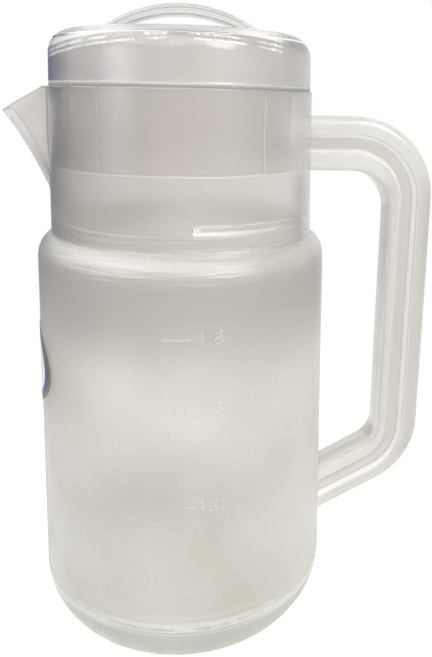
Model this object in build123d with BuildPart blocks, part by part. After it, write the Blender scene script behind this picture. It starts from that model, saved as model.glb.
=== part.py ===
"""Cold water jug with a beak spout, a grooved side handle and a lid that turns and lifts off.

Millimetres. The origin is the centre of the foot, on the surface that the jug stands on.
+Z is up, +X points at the side handle and -X at the spout.
"""
import os
from math import asin, atan2, cos, degrees, radians, sin, tan

from build123d import *

os.makedirs("parts", exist_ok=True)

# Main sizes of the jug
barrel_radius = 66.8
barrel_draft = 3.4
barrel_length = 147.7
shoulder_step = 6.1
shoulder_rise = 9.9
neck_draft = 1.3
neck_length = 60.7
wall = 2.7

# Clearances and cutting overrun
glue_gap = 0.1
turning_gap = 0.4
overrun = 5.0

# Base cup
base_height = 30.3
base_rounding = 30.5
floor_thickness = 4.0
base_lap_wall = 1.4
base_lap_height = 3.2

# Neck spigot on the barrel, and the bead above it inside the neck
spigot_wall = 2.4
spigot_height = 6.2
bead_height = 3.6
bead_depth = 1.3
bead_start_angle = -87
bead_sweep_angle = 70
rim_edge = 0.9

# Beak spout
tip_overhang = 20.6
tip_drop = 10.1
beak_root_rise = 13.1
beak_bow = 1.5
beak_half_angle = 31
beak_wall = 2.2
beak_nose_radius = 0.8
beak_lead_angle = 7
beak_lift_angle = 14

# Side handle
handle_width = 18.0
handle_edge = 3.2
finger_room = 26.3
bar_drop = 10.2
bar_thickness = 23.6
grip_thickness = 19.3
grip_lean = 0.9
grip_flare = 1.0
strut_angle = 28.2
strut_rise = 16.0
strut_thickness = 20.4
outer_top_bend = 36.5
inner_top_bend = 18.5
outer_low_bend = 35.0
inner_low_bend = 13.0
handle_root_depth = 10.0
groove_width = 8.4
groove_depth = 1.5
channel_width = 4.4
channel_depth = 3.4

# Blank oval label under the spout
label_width = 64.0
label_height = 38.0
label_thickness = 0.25
label_rise = 80.2

# Gasket between rim and lid
gasket_width = 2.2
gasket_height = 1.7

# Lid cap
cap_inset = 0.6
cap_draft = 0.7
cap_height = 20.5
cap_ceiling = 2.8
cap_shoulder = 9.4
cap_lower_edge = 0.5

# Lid skirt, with the strainer on the spout side and the open window opposite
skirt_wall = 1.5
skirt_drop = 32.8
skirt_ring = 13.2
window_height = 17.8
window_half_angle = 38
strainer_slot = 2.6
strainer_slots = 11
strainer_pitch_angle = 7.2
rib_width = 1.0
rib_depth = 0.2
rib_angle = 35.4

# Arched grip on the lid
arch_half_span = 35.4
arch_rise = 12.1
arch_thickness = 4.4
arch_foot_thickness = 6.6
arch_width = 12.0
arch_edge = 1.2
arch_groove_height = 1.0
arch_groove_depth = 0.9
tab_length = 3.4
tab_width = 7.0
tab_inset = 3.6

# Levels and radii that follow from the main sizes
shoulder_height = base_height + barrel_length
neck_height = shoulder_height + shoulder_rise
rim_height = neck_height + neck_length
shoulder_radius = barrel_radius - barrel_draft
neck_radius = shoulder_radius - shoulder_step
rim_radius = neck_radius - neck_draft


def barrel_outside(height):
    """Outside radius of the drafted barrel at a height."""
    return barrel_radius - barrel_draft * (height - base_height) / barrel_length


def neck_outside(height):
    """Outside radius of the drafted neck at a height."""
    return neck_radius - neck_draft * (height - neck_height) / neck_length


# Base cup: a rounded bottom with a flat foot, and a lap that stands inside the barrel
foot_radius = barrel_radius - base_rounding
base_lap_top = base_height + base_lap_height
base_lap_outside = barrel_outside(base_lap_top) - wall - glue_gap
base_lap_inside = base_lap_outside - base_lap_wall
with BuildPart() as base_cup:
    with BuildSketch(Plane.XZ):
        with BuildLine():
            foot = Line((0, 0), (foot_radius, 0))
            TangentArc(foot @ 1, (barrel_radius, base_height), tangent=foot % 1)
            Polyline(
                (barrel_radius, base_height),
                (barrel_radius - wall - glue_gap, base_height),
                (base_lap_outside, base_lap_top),
                (base_lap_inside, base_lap_top),
                (base_lap_inside, base_height),
            )
            TangentArc((foot_radius, floor_thickness), (base_lap_inside, base_height), tangent=foot % 1)
            Polyline((foot_radius, floor_thickness), (0, floor_thickness), (0, 0))
        make_face()
    revolve(axis=Axis.Z)
base_cup.part.label = "base_cup"

# Barrel: a drafted tube with a rounded shoulder and the spigot that carries the neck
spigot_top = neck_height + spigot_height
spigot_outside = neck_outside(spigot_top) - wall - glue_gap
spigot_inside = spigot_outside - spigot_wall
with BuildPart() as barrel:
    with BuildSketch(Plane.XZ):
        with BuildLine():
            side = Line((barrel_radius, base_height), (shoulder_radius, shoulder_height))
            TangentArc(side @ 1, (neck_radius, neck_height), tangent=side % 1)
            Polyline(
                (neck_radius, neck_height),
                (neck_radius - wall - glue_gap, neck_height),
                (spigot_outside, spigot_top),
                (spigot_inside, spigot_top),
                (spigot_inside, neck_height - wall),
            )
            TangentArc((shoulder_radius - wall, shoulder_height), (spigot_inside, neck_height - wall),
                       tangent=side % 1)
            Polyline(
                (shoulder_radius - wall, shoulder_height),
                (barrel_radius - wall, base_height),
                (barrel_radius, base_height),
            )
        make_face()
    revolve(axis=Axis.Z)
barrel.part.label = "barrel"

# The beak's keel is an arc that bows towards the neck, from its tip down to its root.
# Both sides of the beak turn about the centre of that arc.
tip_reach = rim_radius + tip_overhang
tip_height = rim_height - tip_drop
beak_root_height = neck_height + beak_root_rise
tip_point = Vector(-tip_reach, tip_height)
root_point = Vector(-neck_outside(beak_root_height), beak_root_height)
keel = root_point - tip_point
keel_bend_radius = ((keel.length / 2) ** 2 + beak_bow ** 2) / (2 * beak_bow)
keel_normal = Vector(-keel.Y, keel.X).normalized()
keel_centre = tip_point + keel / 2 + keel_normal * (beak_bow - keel_bend_radius)
to_root = root_point - keel_centre
root_angle = degrees(atan2(to_root.Y, to_root.X))
keel_angle = 2 * degrees(asin(keel.length / 2 / keel_bend_radius))
beak_start_angle = root_angle - beak_lead_angle
beak_sweep_angle = beak_lead_angle + keel_angle + beak_lift_angle
beak_depth = neck_radius - wall
nose_setback = beak_wall / sin(radians(beak_half_angle))

keel_axis = Axis((keel_centre.X, 0, keel_centre.Y), (0, -1, 0))
beak_plane = Plane(
    origin=(keel_centre.X, 0, keel_centre.Y),
    x_dir=(cos(radians(beak_start_angle)), 0, sin(radians(beak_start_angle))),
    z_dir=(-sin(radians(beak_start_angle)), 0, cos(radians(beak_start_angle))),
)
beak_top_plane = Plane(
    origin=(-rim_radius, 0, rim_height),
    x_dir=(tip_overhang, 0, tip_drop),
    z_dir=(-tip_drop, 0, tip_overhang),
)


def beak_section(setback):
    """Corners of the beak's V section, with its nose a setback behind the keel."""
    half_width = beak_depth * tan(radians(beak_half_angle))
    nose = keel_bend_radius + setback
    return (nose, 0), (nose + beak_depth, half_width), (nose + beak_depth, -half_width)


# Beak: the solid V, with its open top sloping down to the tip
with BuildPart() as beak:
    with BuildSketch(beak_plane):
        with BuildLine():
            Polyline(*beak_section(0), close=True)
        make_face()
        fillet(vertices().group_by(Axis.X)[0], radius=beak_nose_radius)
    revolve(axis=keel_axis, revolution_arc=beak_sweep_angle)
    split(bisect_by=beak_top_plane, keep=Keep.BOTTOM)
    split(bisect_by=Plane.XY.offset(rim_height), keep=Keep.BOTTOM)
    split(bisect_by=Plane.XY.offset(neck_height), keep=Keep.TOP)

# Channel: the hollow of the beak, which also opens the neck behind it
with BuildPart() as channel:
    with BuildSketch(beak_plane):
        with BuildLine():
            Polyline(*beak_section(nose_setback), close=True)
        make_face()
    revolve(axis=keel_axis, revolution_arc=beak_sweep_angle)

# Neck collar: a drafted tube over the spigot, with the beak moulded on and a bead inside
bead_bottom = spigot_top + glue_gap
bead_inside = neck_outside(bead_bottom) - wall - bead_depth
with BuildPart() as neck_collar:
    with BuildSketch(Plane.XZ):
        with BuildLine():
            Polyline(
                (0, neck_height),
                (neck_radius, neck_height),
                (neck_outside(rim_height - rim_edge), rim_height - rim_edge),
                (rim_radius - rim_edge, rim_height),
                (0, rim_height),
                close=True,
            )
        make_face()
    revolve(axis=Axis.Z)
    add(beak.part)
    with BuildSketch(Plane.XZ):
        with BuildLine():
            Polyline(
                (0, neck_height),
                (neck_radius - wall, neck_height),
                (rim_radius - wall, rim_height),
                (rim_radius - wall, rim_height + overrun),
                (0, rim_height + overrun),
                close=True,
            )
        make_face()
    revolve(axis=Axis.Z, mode=Mode.SUBTRACT)
    add(channel.part, mode=Mode.SUBTRACT)
    with BuildSketch(Plane.XZ.rotated((0, 0, bead_start_angle))):
        with Locations((bead_inside, bead_bottom)):
            Rectangle(bead_depth + wall / 2, bead_height, align=(Align.MIN, Align.MIN))
    revolve(axis=Axis.Z, revolution_arc=bead_sweep_angle)
neck_collar.part.label = "neck_collar"

# Side handle: its outline in the XZ plane runs from the neck out to the grip and back to the barrel
grip_inside = barrel_radius + finger_room
grip_reach = grip_inside + grip_thickness
low_grip_inside = grip_inside + grip_lean
low_grip_reach = grip_reach + grip_lean + grip_flare
low_grip_middle = (low_grip_inside + low_grip_reach) / 2
bar_top = rim_height - bar_drop
bar_bottom = bar_top - bar_thickness
bar_middle = (bar_top + bar_bottom) / 2
strut_slope = tan(radians(strut_angle))
strut_upright = strut_thickness / cos(radians(strut_angle))
handle_root = neck_radius - handle_root_depth


def strut_line(reach):
    """Height of the strut's lower edge at a reach from the jug's axis."""
    return base_height + strut_rise + (reach - barrel_radius) * strut_slope


with BuildPart() as side_handle:
    with BuildSketch(Plane.XZ.offset(-handle_width / 2)):
        with BuildLine():
            FilletPolyline(
                (handle_root, bar_top),
                (grip_reach, bar_top),
                (low_grip_reach, strut_line(low_grip_reach)),
                (handle_root, strut_line(handle_root)),
                (handle_root, strut_line(handle_root) + strut_upright),
                (low_grip_inside, strut_line(low_grip_inside) + strut_upright),
                (grip_inside, bar_bottom),
                (handle_root, bar_bottom),
                radius=(0, outer_top_bend, outer_low_bend, 0, 0, inner_low_bend, inner_top_bend, 0),
                close=True,
            )
        make_face()
    extrude(amount=handle_width)
    side_faces = side_handle.faces().filter_by(Axis.Y)
    fillet(side_faces.edges(), radius=handle_edge)
    # A wide shallow groove runs along each side, with a narrow deeper channel in it
    for width, depth in ((groove_width, groove_depth), (channel_width, channel_depth)):
        for side in (1, -1):
            with BuildSketch(Plane.XZ.offset(side * (handle_width / 2 - depth))):
                with BuildLine():
                    FilletPolyline(
                        (handle_root, bar_middle),
                        (grip_reach - grip_thickness / 2, bar_middle),
                        (low_grip_middle, strut_line(low_grip_middle) + strut_upright / 2),
                        (handle_root, strut_line(handle_root) + strut_upright / 2),
                        radius=((outer_top_bend + inner_top_bend) / 2,
                                (outer_low_bend + inner_low_bend) / 2),
                    )
                trace(line_width=width)
            extrude(amount=side * (depth + overrun), mode=Mode.SUBTRACT)
    # The ends are cut to the jug's own outline, a glue gap away from it
    with BuildSketch(Plane.XZ):
        with BuildLine():
            Polyline(
                (0, 0),
                (barrel_radius + glue_gap, 0),
                (barrel_radius + glue_gap, base_height),
                (shoulder_radius + glue_gap, shoulder_height),
                (neck_radius + glue_gap, neck_height),
                (rim_radius + glue_gap, rim_height),
                (0, rim_height),
                close=True,
            )
        make_face()
    revolve(axis=Axis.Z, mode=Mode.SUBTRACT)
side_handle.part.label = "side_handle"

# Front label: a blank oval sticker that follows the barrel under the spout
label_low = base_height + label_rise
label_high = label_low + label_height
with BuildPart() as front_label:
    with BuildSketch(Plane.XZ):
        with BuildLine():
            Polyline(
                (barrel_outside(label_low) + glue_gap, label_low),
                (barrel_outside(label_low) + glue_gap + label_thickness, label_low),
                (barrel_outside(label_high) + glue_gap + label_thickness, label_high),
                (barrel_outside(label_high) + glue_gap, label_high),
                close=True,
            )
        make_face()
    revolve(axis=Axis.Z)
    with BuildSketch(Plane.YZ):
        with Locations((0, (label_low + label_high) / 2)):
            Ellipse(label_width / 2, label_height / 2)
    extrude(amount=-barrel_radius - overrun, mode=Mode.INTERSECT)
front_label.part.label = "front_label"

# Rim gasket: a flat ring between the rim and the cap, loose round the skirt
skirt_radius = rim_radius - wall - glue_gap - turning_gap
gasket_inside = skirt_radius + turning_gap
gasket_top = rim_height + gasket_height
with BuildPart() as rim_gasket:
    with BuildSketch(Plane.XY.offset(rim_height)):
        Circle(gasket_inside + gasket_width)
        Circle(gasket_inside, mode=Mode.SUBTRACT)
    extrude(amount=gasket_height)
    fillet(rim_gasket.edges().group_by(SortBy.LENGTH)[-1], radius=gasket_height / 4)
rim_gasket.part.label = "rim_gasket"

# Lid cap: a shallow clear cup with a rounded shoulder, and two slots for the grip's tabs
cap_radius = rim_radius - cap_inset
cap_inside = skirt_radius + glue_gap
cap_top = gasket_top + cap_height
ceiling_height = cap_top - cap_ceiling
tab_reach = arch_half_span - tab_inset
with BuildPart() as lid_cap:
    with BuildSketch(Plane.XZ):
        with BuildLine():
            Polyline(
                (0, ceiling_height),
                (0, cap_top),
                (cap_radius - cap_draft, cap_top),
                (cap_radius, gasket_top),
                (cap_inside, gasket_top),
                (cap_inside, ceiling_height),
                close=True,
            )
        make_face()
        fillet(vertices().group_by(Axis.Y)[-1].sort_by(Axis.X)[-1], radius=cap_shoulder)
        fillet(vertices().group_by(Axis.Y)[0].sort_by(Axis.X)[-1], radius=cap_lower_edge)
    revolve(axis=Axis.Z)
    with BuildSketch(Plane.XY.offset(ceiling_height)):
        with Locations((tab_reach, 0), (-tab_reach, 0)):
            Rectangle(tab_length + 2 * glue_gap, tab_width + 2 * glue_gap)
    extrude(amount=cap_ceiling, mode=Mode.SUBTRACT)
lid_cap.part.label = "lid_cap"

# Lid skirt: a tube under the cap, with strainer slots in front and an open window behind.
# Two upright guide ribs on each side keep it centred in the neck.
skirt_bottom = rim_height - skirt_drop
window_bottom = skirt_bottom + skirt_ring
window_reach = skirt_radius + overrun
window_half_width = window_reach * tan(radians(window_half_angle))
first_slot_angle = 180 - strainer_pitch_angle * (strainer_slots - 1) / 2
with BuildPart() as lid_skirt:
    with BuildSketch(Plane.XY.offset(skirt_bottom)):
        Circle(skirt_radius)
        Circle(skirt_radius - skirt_wall, mode=Mode.SUBTRACT)
    extrude(amount=ceiling_height - skirt_bottom)
    with BuildSketch(Plane.XY.offset(skirt_bottom)):
        for side_angle in (90, -90):
            with PolarLocations(skirt_radius, 2, side_angle - rib_angle, 4 * rib_angle):
                Rectangle(2 * rib_depth, rib_width)
    extrude(amount=skirt_drop)
    with BuildSketch(Plane.XY.offset(window_bottom)):
        with BuildLine():
            Polyline(
                (0, 0),
                (window_reach, window_half_width),
                (window_reach, -window_half_width),
                close=True,
            )
        make_face()
        with PolarLocations(skirt_radius, strainer_slots, first_slot_angle,
                            strainer_pitch_angle * strainer_slots):
            Rectangle(skirt_wall + overrun, strainer_slot)
    extrude(amount=window_height, mode=Mode.SUBTRACT)
lid_skirt.part.label = "lid_skirt"

# Lid arch: a bowed bar with a groove along each side, and two tabs bonded into the cap
arch_foot_inside = arch_half_span - arch_foot_thickness
arch_foot_middle = arch_half_span - arch_foot_thickness / 2
with BuildPart() as lid_arch:
    with BuildSketch(Plane.XZ.offset(-arch_width / 2)):
        with BuildLine():
            ThreePointArc((-arch_half_span, cap_top), (0, cap_top + arch_rise), (arch_half_span, cap_top))
            Line((arch_half_span, cap_top), (arch_foot_inside, cap_top))
            ThreePointArc(
                (arch_foot_inside, cap_top),
                (0, cap_top + arch_rise - arch_thickness),
                (-arch_foot_inside, cap_top),
            )
            Line((-arch_foot_inside, cap_top), (-arch_half_span, cap_top))
        make_face()
    extrude(amount=arch_width)
    fillet(lid_arch.faces().filter_by(Axis.Y).edges().filter_by(GeomType.CIRCLE), radius=arch_edge)
    for side in (1, -1):
        with BuildSketch(Plane.XZ.offset(side * (arch_width / 2 - arch_groove_depth))):
            with BuildLine():
                ThreePointArc(
                    (-arch_foot_middle, cap_top - arch_groove_height),
                    (0, cap_top + arch_rise - arch_thickness / 2),
                    (arch_foot_middle, cap_top - arch_groove_height),
                )
            trace(line_width=arch_groove_height)
        extrude(amount=side * (arch_groove_depth + overrun), mode=Mode.SUBTRACT)
    with BuildSketch(Plane.XY.offset(cap_top)):
        with Locations((tab_reach, 0), (-tab_reach, 0)):
            Rectangle(tab_length, tab_width)
    extrude(amount=-cap_ceiling)
lid_arch.part.label = "lid_arch"

# One file for each piece, under its own name
for piece in (base_cup, barrel, neck_collar, side_handle, front_label, rim_gasket, lid_cap, lid_skirt,
              lid_arch):
    export_step(piece.part, f"parts/{piece.part.label}.step")
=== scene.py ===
"""Looks of the cold water jug: skins, finishes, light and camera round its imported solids.

Every shape is a surface of two parameters, worked out with numpy in millimetres. It becomes metres where
its mesh is made. +Z is up, +X points at the side handle and -X at the spout. The objects stay at the origin.
"""
import logging
from collections.abc import Callable
from dataclasses import dataclass
from enum import Enum
from functools import partial

import bpy
import numpy as np
from mathutils import Matrix


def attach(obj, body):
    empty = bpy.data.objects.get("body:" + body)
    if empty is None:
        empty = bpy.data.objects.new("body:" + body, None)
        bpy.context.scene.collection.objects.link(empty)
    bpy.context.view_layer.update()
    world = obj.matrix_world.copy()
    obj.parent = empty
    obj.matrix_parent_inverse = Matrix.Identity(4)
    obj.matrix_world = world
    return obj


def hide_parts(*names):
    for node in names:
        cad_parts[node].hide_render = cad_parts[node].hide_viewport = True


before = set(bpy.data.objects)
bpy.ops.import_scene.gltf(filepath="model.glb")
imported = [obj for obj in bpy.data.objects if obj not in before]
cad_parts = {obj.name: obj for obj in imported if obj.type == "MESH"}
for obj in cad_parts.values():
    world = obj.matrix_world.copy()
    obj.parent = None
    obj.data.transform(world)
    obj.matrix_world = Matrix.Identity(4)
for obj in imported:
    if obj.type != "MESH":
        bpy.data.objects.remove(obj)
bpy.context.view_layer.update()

log = logging.getLogger("jug")

Array = np.ndarray
Socket = bpy.types.NodeSocket
Adder = Callable[..., bpy.types.bpy_prop_collection]

MM = 0.001
FRAME_PIXELS = (432, 657)
SENSOR_MM = 36.0
FILM_GAP = 0.05
SMOOTH_ANGLE = np.radians(38)
ROUND_STEPS = 288
SECTION_STEPS = 6
NOISE_REACH = (0.3, 0.7)  # between these two lie most values of a noise
EASED = {"interpolation_type": "SMOOTHSTEP"}
COLOURS = {"data_type": "RGBA"}


# Colours and nodes


def linear(hex_colour: str) -> tuple[float, float, float, float]:
    """Turns an sRGB hex colour into linear red, green, blue and an alpha of 1.

    Args:
        hex_colour: Six hex digits, such as "E4E2DD".

    Returns:
        The linear colour. Each share c becomes c / 12.92 up to 0.04045, else ((c + 0.055) / 1.055) ** 2.4.
    """
    shares = np.array([int(hex_colour[i:i + 2], 16) for i in (0, 2, 4)]) / 255
    curve = np.where(shares <= 0.04045, shares / 12.92, ((shares + 0.055) / 1.055) ** 2.4)
    return (*curve.tolist(), 1.0)


def add_node(tree: bpy.types.NodeTree, kind: str, inputs: dict | None = None,
             **settings: object) -> bpy.types.bpy_prop_collection:
    """Adds one node with its settings and its inputs.

    Args:
        tree: The node tree that gets it.
        kind: The node's type name, without the words ShaderNode before it.
        inputs: Values or output sockets for its input sockets, by name or number.
        settings: Values of its properties, by name.

    Returns:
        The new node's output sockets.
    """
    node = tree.nodes.new("ShaderNode" + kind)
    for name, value in settings.items():
        setattr(node, name, value)
    for name, value in (inputs or {}).items():
        if isinstance(value, Socket):
            tree.links.new(value, node.inputs[name])
        else:
            node.inputs[name].default_value = value
    return node.outputs


def span(start: float, end: float, low: object = 0.0, high: object = 1.0) -> dict[str, object]:
    """Inputs of a Map Range node that goes from low at a start value to high at an end value."""
    return {"From Min": start, "From Max": end, "To Min": low, "To Max": high}


def node_adder(owner: bpy.types.Material | bpy.types.World) -> Adder:
    """Turns a material's or a world's nodes on, empties its tree and returns add_node for that tree.

    Args:
        owner: The material or the world.

    Returns:
        What adds nodes to it.
    """
    owner.use_nodes = True
    owner.node_tree.nodes.clear()
    return partial(add_node, owner.node_tree)


def combined(add: Adder, operation: str, values: list[Socket]) -> Socket:
    """Adds one Math operation over several values, one after the other.

    Args:
        add: What adds the nodes.
        operation: The operation's name.
        values: What it takes, one or more.

    Returns:
        The result's socket.
    """
    total = values[0]
    for value in values[1:]:
        total = add("Math", {0: total, 1: value}, operation=operation)[0]
    return total


def place_object(name: str, data: bpy.types.ID) -> bpy.types.Object:
    """Makes an object of a mesh, a curve, a lamp or a camera, and puts it into the scene.

    Args:
        name: The object's name.
        data: What it shows.

    Returns:
        The new object.
    """
    thing = bpy.data.objects.new(name, data)
    bpy.context.scene.collection.objects.link(thing)
    return thing


def stand(thing: bpy.types.Object, axes: list[Array], place: tuple[float, float, float]) -> None:
    """Gives a lamp or a camera its x, y and z axes and its place in millimetres.

    Args:
        thing: The lamp or camera.
        axes: Its x, y and z axes, each of length 1.
        place: Its place.
    """
    matrix = np.eye(4)
    matrix[:3, :3] = np.stack(axes, axis=1)
    matrix[:3, 3] = np.array(place, float) * MM
    thing.matrix_world = Matrix(matrix.tolist())


# Surfaces


@dataclass
class Skin:
    """A closed skin: its points in millimetres, and its four-sided and three-sided faces.

    Its glint is a share for each point: 1 for a painted highlight, a white line where a small rounding
    gathers light, and -1 for painted shade, where the plastic is drawn darker.
    """

    points: Array
    quads: Array
    triangles: Array
    glint: Array | None = None

    def volume(self) -> float:
        """Returns the enclosed volume: a sixth of the sum of a . (b x c) over triangles (a, b, c)."""
        corners = np.concatenate([self.quads[:, [0, 1, 2]], self.quads[:, [0, 2, 3]], self.triangles])
        a, b, c = (self.points[corners[:, i]] for i in range(3))
        return float(np.einsum("ij,ij->", a, np.cross(b, c)) / 6)

    def outward(self) -> "Skin":
        """Returns the skin with its faces turned outwards, so that its volume is positive."""
        if self.volume() < 0:
            return Skin(self.points, self.quads[:, ::-1], self.triangles[:, ::-1], self.glint)
        return self


def joined(skins: list[Skin]) -> Skin:
    """Joins skins into one, with each one's faces numbered after the points before it.

    Args:
        skins: The skins, without glint.

    Returns:
        The one skin.
    """
    starts = np.cumsum([0] + [len(skin.points) for skin in skins[:-1]])
    return Skin(
        np.concatenate([skin.points for skin in skins]),
        np.concatenate([skin.quads + start for skin, start in zip(skins, starts)]),
        np.concatenate([skin.triangles + start for skin, start in zip(skins, starts)]),
    )


def wrapped_skin(grid: Array, loop: bool = False, poles: Array | None = None,
                 glint: Array | None = None) -> Skin:
    """Makes a skin from rings of points.

    Point (i, j) of the grid joins (i + 1, j), and (i, j + 1) with the last j next to the first.
    The rows close on themselves too where loop is true. Otherwise each end ring closes on a pole.

    Args:
        grid: Points as an array of rings, columns and three coordinates.
        loop: Whether the last ring joins the first.
        poles: The two points that close the end rings. Their middles are taken where none are given.
        glint: The glint share of each point of the grid.

    Returns:
        The closed skin with its faces outwards.
    """
    rings, columns, _ = grid.shape
    index = np.arange(rings * columns).reshape(rings, columns)
    near = index if loop else index[:-1]
    far = np.roll(index, -1, axis=0) if loop else index[1:]
    quads = np.stack([near, np.roll(near, -1, axis=1), np.roll(far, -1, axis=1), far], axis=-1).reshape(-1, 4)
    points = grid.reshape(-1, 3)
    shares = None if glint is None else np.broadcast_to(glint, grid.shape[:2]).ravel()
    triangles = np.zeros((0, 3), int)
    if not loop:
        if poles is None:
            poles = np.stack([grid[0].mean(axis=0), grid[-1].mean(axis=0)])
        first, last = len(points), len(points) + 1
        points = np.concatenate([points, poles])
        start = np.stack([np.roll(index[0], -1), index[0], np.full(columns, first)], axis=-1)
        end = np.stack([index[-1], np.roll(index[-1], -1), np.full(columns, last)], axis=-1)
        triangles = np.concatenate([start, end])
        shares = None if shares is None else np.concatenate([shares, [0, 0]])
    return Skin(points, quads, triangles, shares).outward()


def turned(radius: Array, height: Array, azimuth: Array) -> Array:
    """Carries radii and heights round the Z axis: x = r cos a, y = r sin a, z = h."""
    radius, height, azimuth = np.broadcast_arrays(radius, height, azimuth)
    return np.stack([radius * np.cos(azimuth), radius * np.sin(azimuth), height], axis=-1)


def even_turn(count: int) -> Array:
    """Even angles once round: 2 pi i / count."""
    return np.linspace(0, 2 * np.pi, count, endpoint=False)


def lathe(outline: Array, ring: bool = True, glint: Array | None = None) -> Skin:
    """Turns an outline of radii and heights once round the axis.

    Args:
        outline: The radii and heights.
        ring: Whether the outline closes on itself. Otherwise poles on the axis, level with its ends, do it.
        glint: The glint share at each point of the outline and each angle.

    Returns:
        The closed skin.
    """
    radius, height = outline.T[:, :, None]
    poles = None if ring else np.array([(0, 0, height[0, 0]), (0, 0, height[-1, 0])])
    return wrapped_skin(turned(radius, height, even_turn(ROUND_STEPS)), ring, poles, glint)


def half_turned(angle: Array) -> Array:
    """Brings angles into the range from -pi to pi: (a + pi) mod 2 pi - pi."""
    return (angle + np.pi) % (2 * np.pi) - np.pi


def arc(centre: Array, radius: float, start: float, end: float, steps: int) -> Array:
    """Points of a circle's arc: centre + radius (cos t, sin t), with t even from start to end."""
    turn = np.linspace(start, end, steps)
    return np.asarray(centre) + radius * np.stack([np.cos(turn), np.sin(turn)], axis=-1)


def tangent_arc(start: Array, heading: Array, end: Array, steps: int) -> Array:
    """Points of the arc that leaves a point along a heading and meets another point.

    The centre lies on the heading's normal n at the distance |d|^2 / (2 d . n), where d = end - start.

    Args:
        start: Where the arc begins.
        heading: Its direction there, of any length.
        end: Where it ends.
        steps: How many points it gets.

    Returns:
        The points, ends included.
    """
    start, end = np.asarray(start, float), np.asarray(end, float)
    heading = np.asarray(heading, float) / np.linalg.norm(heading)
    normal = np.array([-heading[1], heading[0]])
    chord = end - start
    reach = (chord @ chord) / (2 * (chord @ normal))
    centre = start + reach * normal
    first = np.arctan2(*(start - centre)[::-1])
    turn = half_turned(np.arctan2(*(end - centre)[::-1]) - first)
    return arc(centre, abs(reach), first, first + turn, steps)


def rounded_corner(before: Array, corner: Array, after: Array, radius: float, steps: int) -> Array:
    """Points of the arc that rounds a corner.

    It begins and ends radius / tan(half the corner's angle) from the corner, and its centre is
    radius / sin(half the angle) away on the bisector.

    Args:
        before: The outline's point before the corner.
        corner: The corner.
        after: The point after it.
        radius: The arc's radius. Zero keeps the corner.
        steps: How many points the arc gets.

    Returns:
        The arc's points.
    """
    before, corner, after = (np.asarray(point, float) for point in (before, corner, after))
    if radius == 0:
        return corner[None]
    back = (before - corner) / np.linalg.norm(before - corner)
    on = (after - corner) / np.linalg.norm(after - corner)
    half = np.arccos(np.clip(back @ on, -1, 1)) / 2
    centre = corner + (back + on) / np.linalg.norm(back + on) * radius / np.sin(half)
    start = corner + back * radius / np.tan(half)
    first = np.arctan2(*(start - centre)[::-1])
    last = np.arctan2(*(corner + on * radius / np.tan(half) - centre)[::-1])
    return arc(centre, radius, first, first + half_turned(last - first), steps)


def rounded_outline(corners: list, radii: list, steps: int = 5) -> Array:
    """Rounds each corner of a closed outline with an arc of its own radius.

    Args:
        corners: The corners, in order.
        radii: A radius for each corner.
        steps: How many points a corner gets.

    Returns:
        The points.
    """
    ring = [np.asarray(corner, float) for corner in corners]
    return np.concatenate([
        rounded_corner(ring[i - 1], ring[i], ring[(i + 1) % len(ring)], radius, steps)
        for i, radius in enumerate(radii)
    ])


def spread(points: Array, spacing: float, closed: bool = True) -> Array:
    """Adds even points to an outline's long sides, so that no side is longer than the spacing.

    Args:
        points: The outline's points.
        spacing: The longest stretch that may stay.
        closed: Whether the last point joins the first.

    Returns:
        The points, with those put between.
    """
    ends = np.concatenate([points, points[:1]]) if closed else points
    runs = []
    for start, end in zip(ends[:-1], ends[1:]):
        count = max(int(np.ceil(np.linalg.norm(end - start) / spacing)), 1)
        runs.append(start + (end - start) * np.arange(count)[:, None] / count)
    return np.concatenate(runs if closed else [*runs, points[-1:]])


def smooth_step(share: Array) -> Array:
    """Eases a share from 0 to 1 by 3 s^2 - 2 s^3, and holds it there outside."""
    share = np.clip(share, 0, 1)
    return share * share * (3 - 2 * share)


def eased(value: Array, start: float, end: float) -> Array:
    """Eases from 0 at a start value to 1 at an end value, by smooth_step."""
    return smooth_step((value - start) / (end - start))


def grooved_section(half: float, side: float, groove: tuple[float, float], depth: float,
                    radii: tuple[float, float, float], spacing: float) -> Array:
    """Closed outline of a rounded bar with a tapered groove sunk into both of its sides.

    Its second half is the first one turned half round: (x, y) becomes (-x, -y).

    Args:
        half: Half of its thickness, along x.
        side: Half of its width, along y.
        groove: Half of the groove's breadth, at its lips and on its floor.
        depth: How deep the groove is.
        radii: The roundings of the bar's edges, of the groove's lips and of its floor's corners.
        spacing: How far apart its points may be.

    Returns:
        The points as (along the thickness, across the width).
    """
    lip, floor = groove
    low = side - depth
    corners = [(half, -side), (half, side), (lip, side), (floor, low), (-floor, low), (-lip, side)]
    corners += [(-along, -across) for along, across in corners]
    edge, lip_rounding, floor_rounding = radii
    rounding = [edge, edge, lip_rounding, floor_rounding, floor_rounding, lip_rounding]
    return spread(rounded_outline(corners, rounding * 2, SECTION_STEPS), spacing)


def make_piece(name: str, skin: Skin, material: bpy.types.Material, body: str,
               nodes: tuple[str, ...] = ()) -> bpy.types.Object:
    """Makes a mesh object of a skin and hangs it on a body of the frame.

    Args:
        name: The piece's name.
        skin: Its surface in millimetres.
        material: Its finish.
        body: The body that it moves with.
        nodes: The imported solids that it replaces.

    Returns:
        The new object, with smooth faces and sharp edges past SMOOTH_ANGLE.
    """
    mesh = bpy.data.meshes.new(name)
    mesh.from_pydata(skin.points * MM, [], [*skin.quads.tolist(), *skin.triangles.tolist()])
    mesh.shade_smooth()
    mesh.set_sharp_from_angle(angle=SMOOTH_ANGLE)
    if skin.glint is not None:
        attribute = mesh.attributes.new("glint", "FLOAT", "POINT")
        attribute.data.foreach_set("value", skin.glint.astype(np.float32))
    mesh.materials.append(material)
    piece = place_object(name, mesh)
    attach(piece, body)
    if nodes:
        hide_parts(*nodes)
    log.info("%s: %d faces, rides on %s", name, len(mesh.polygons), body)
    return piece


# Finishes


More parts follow.
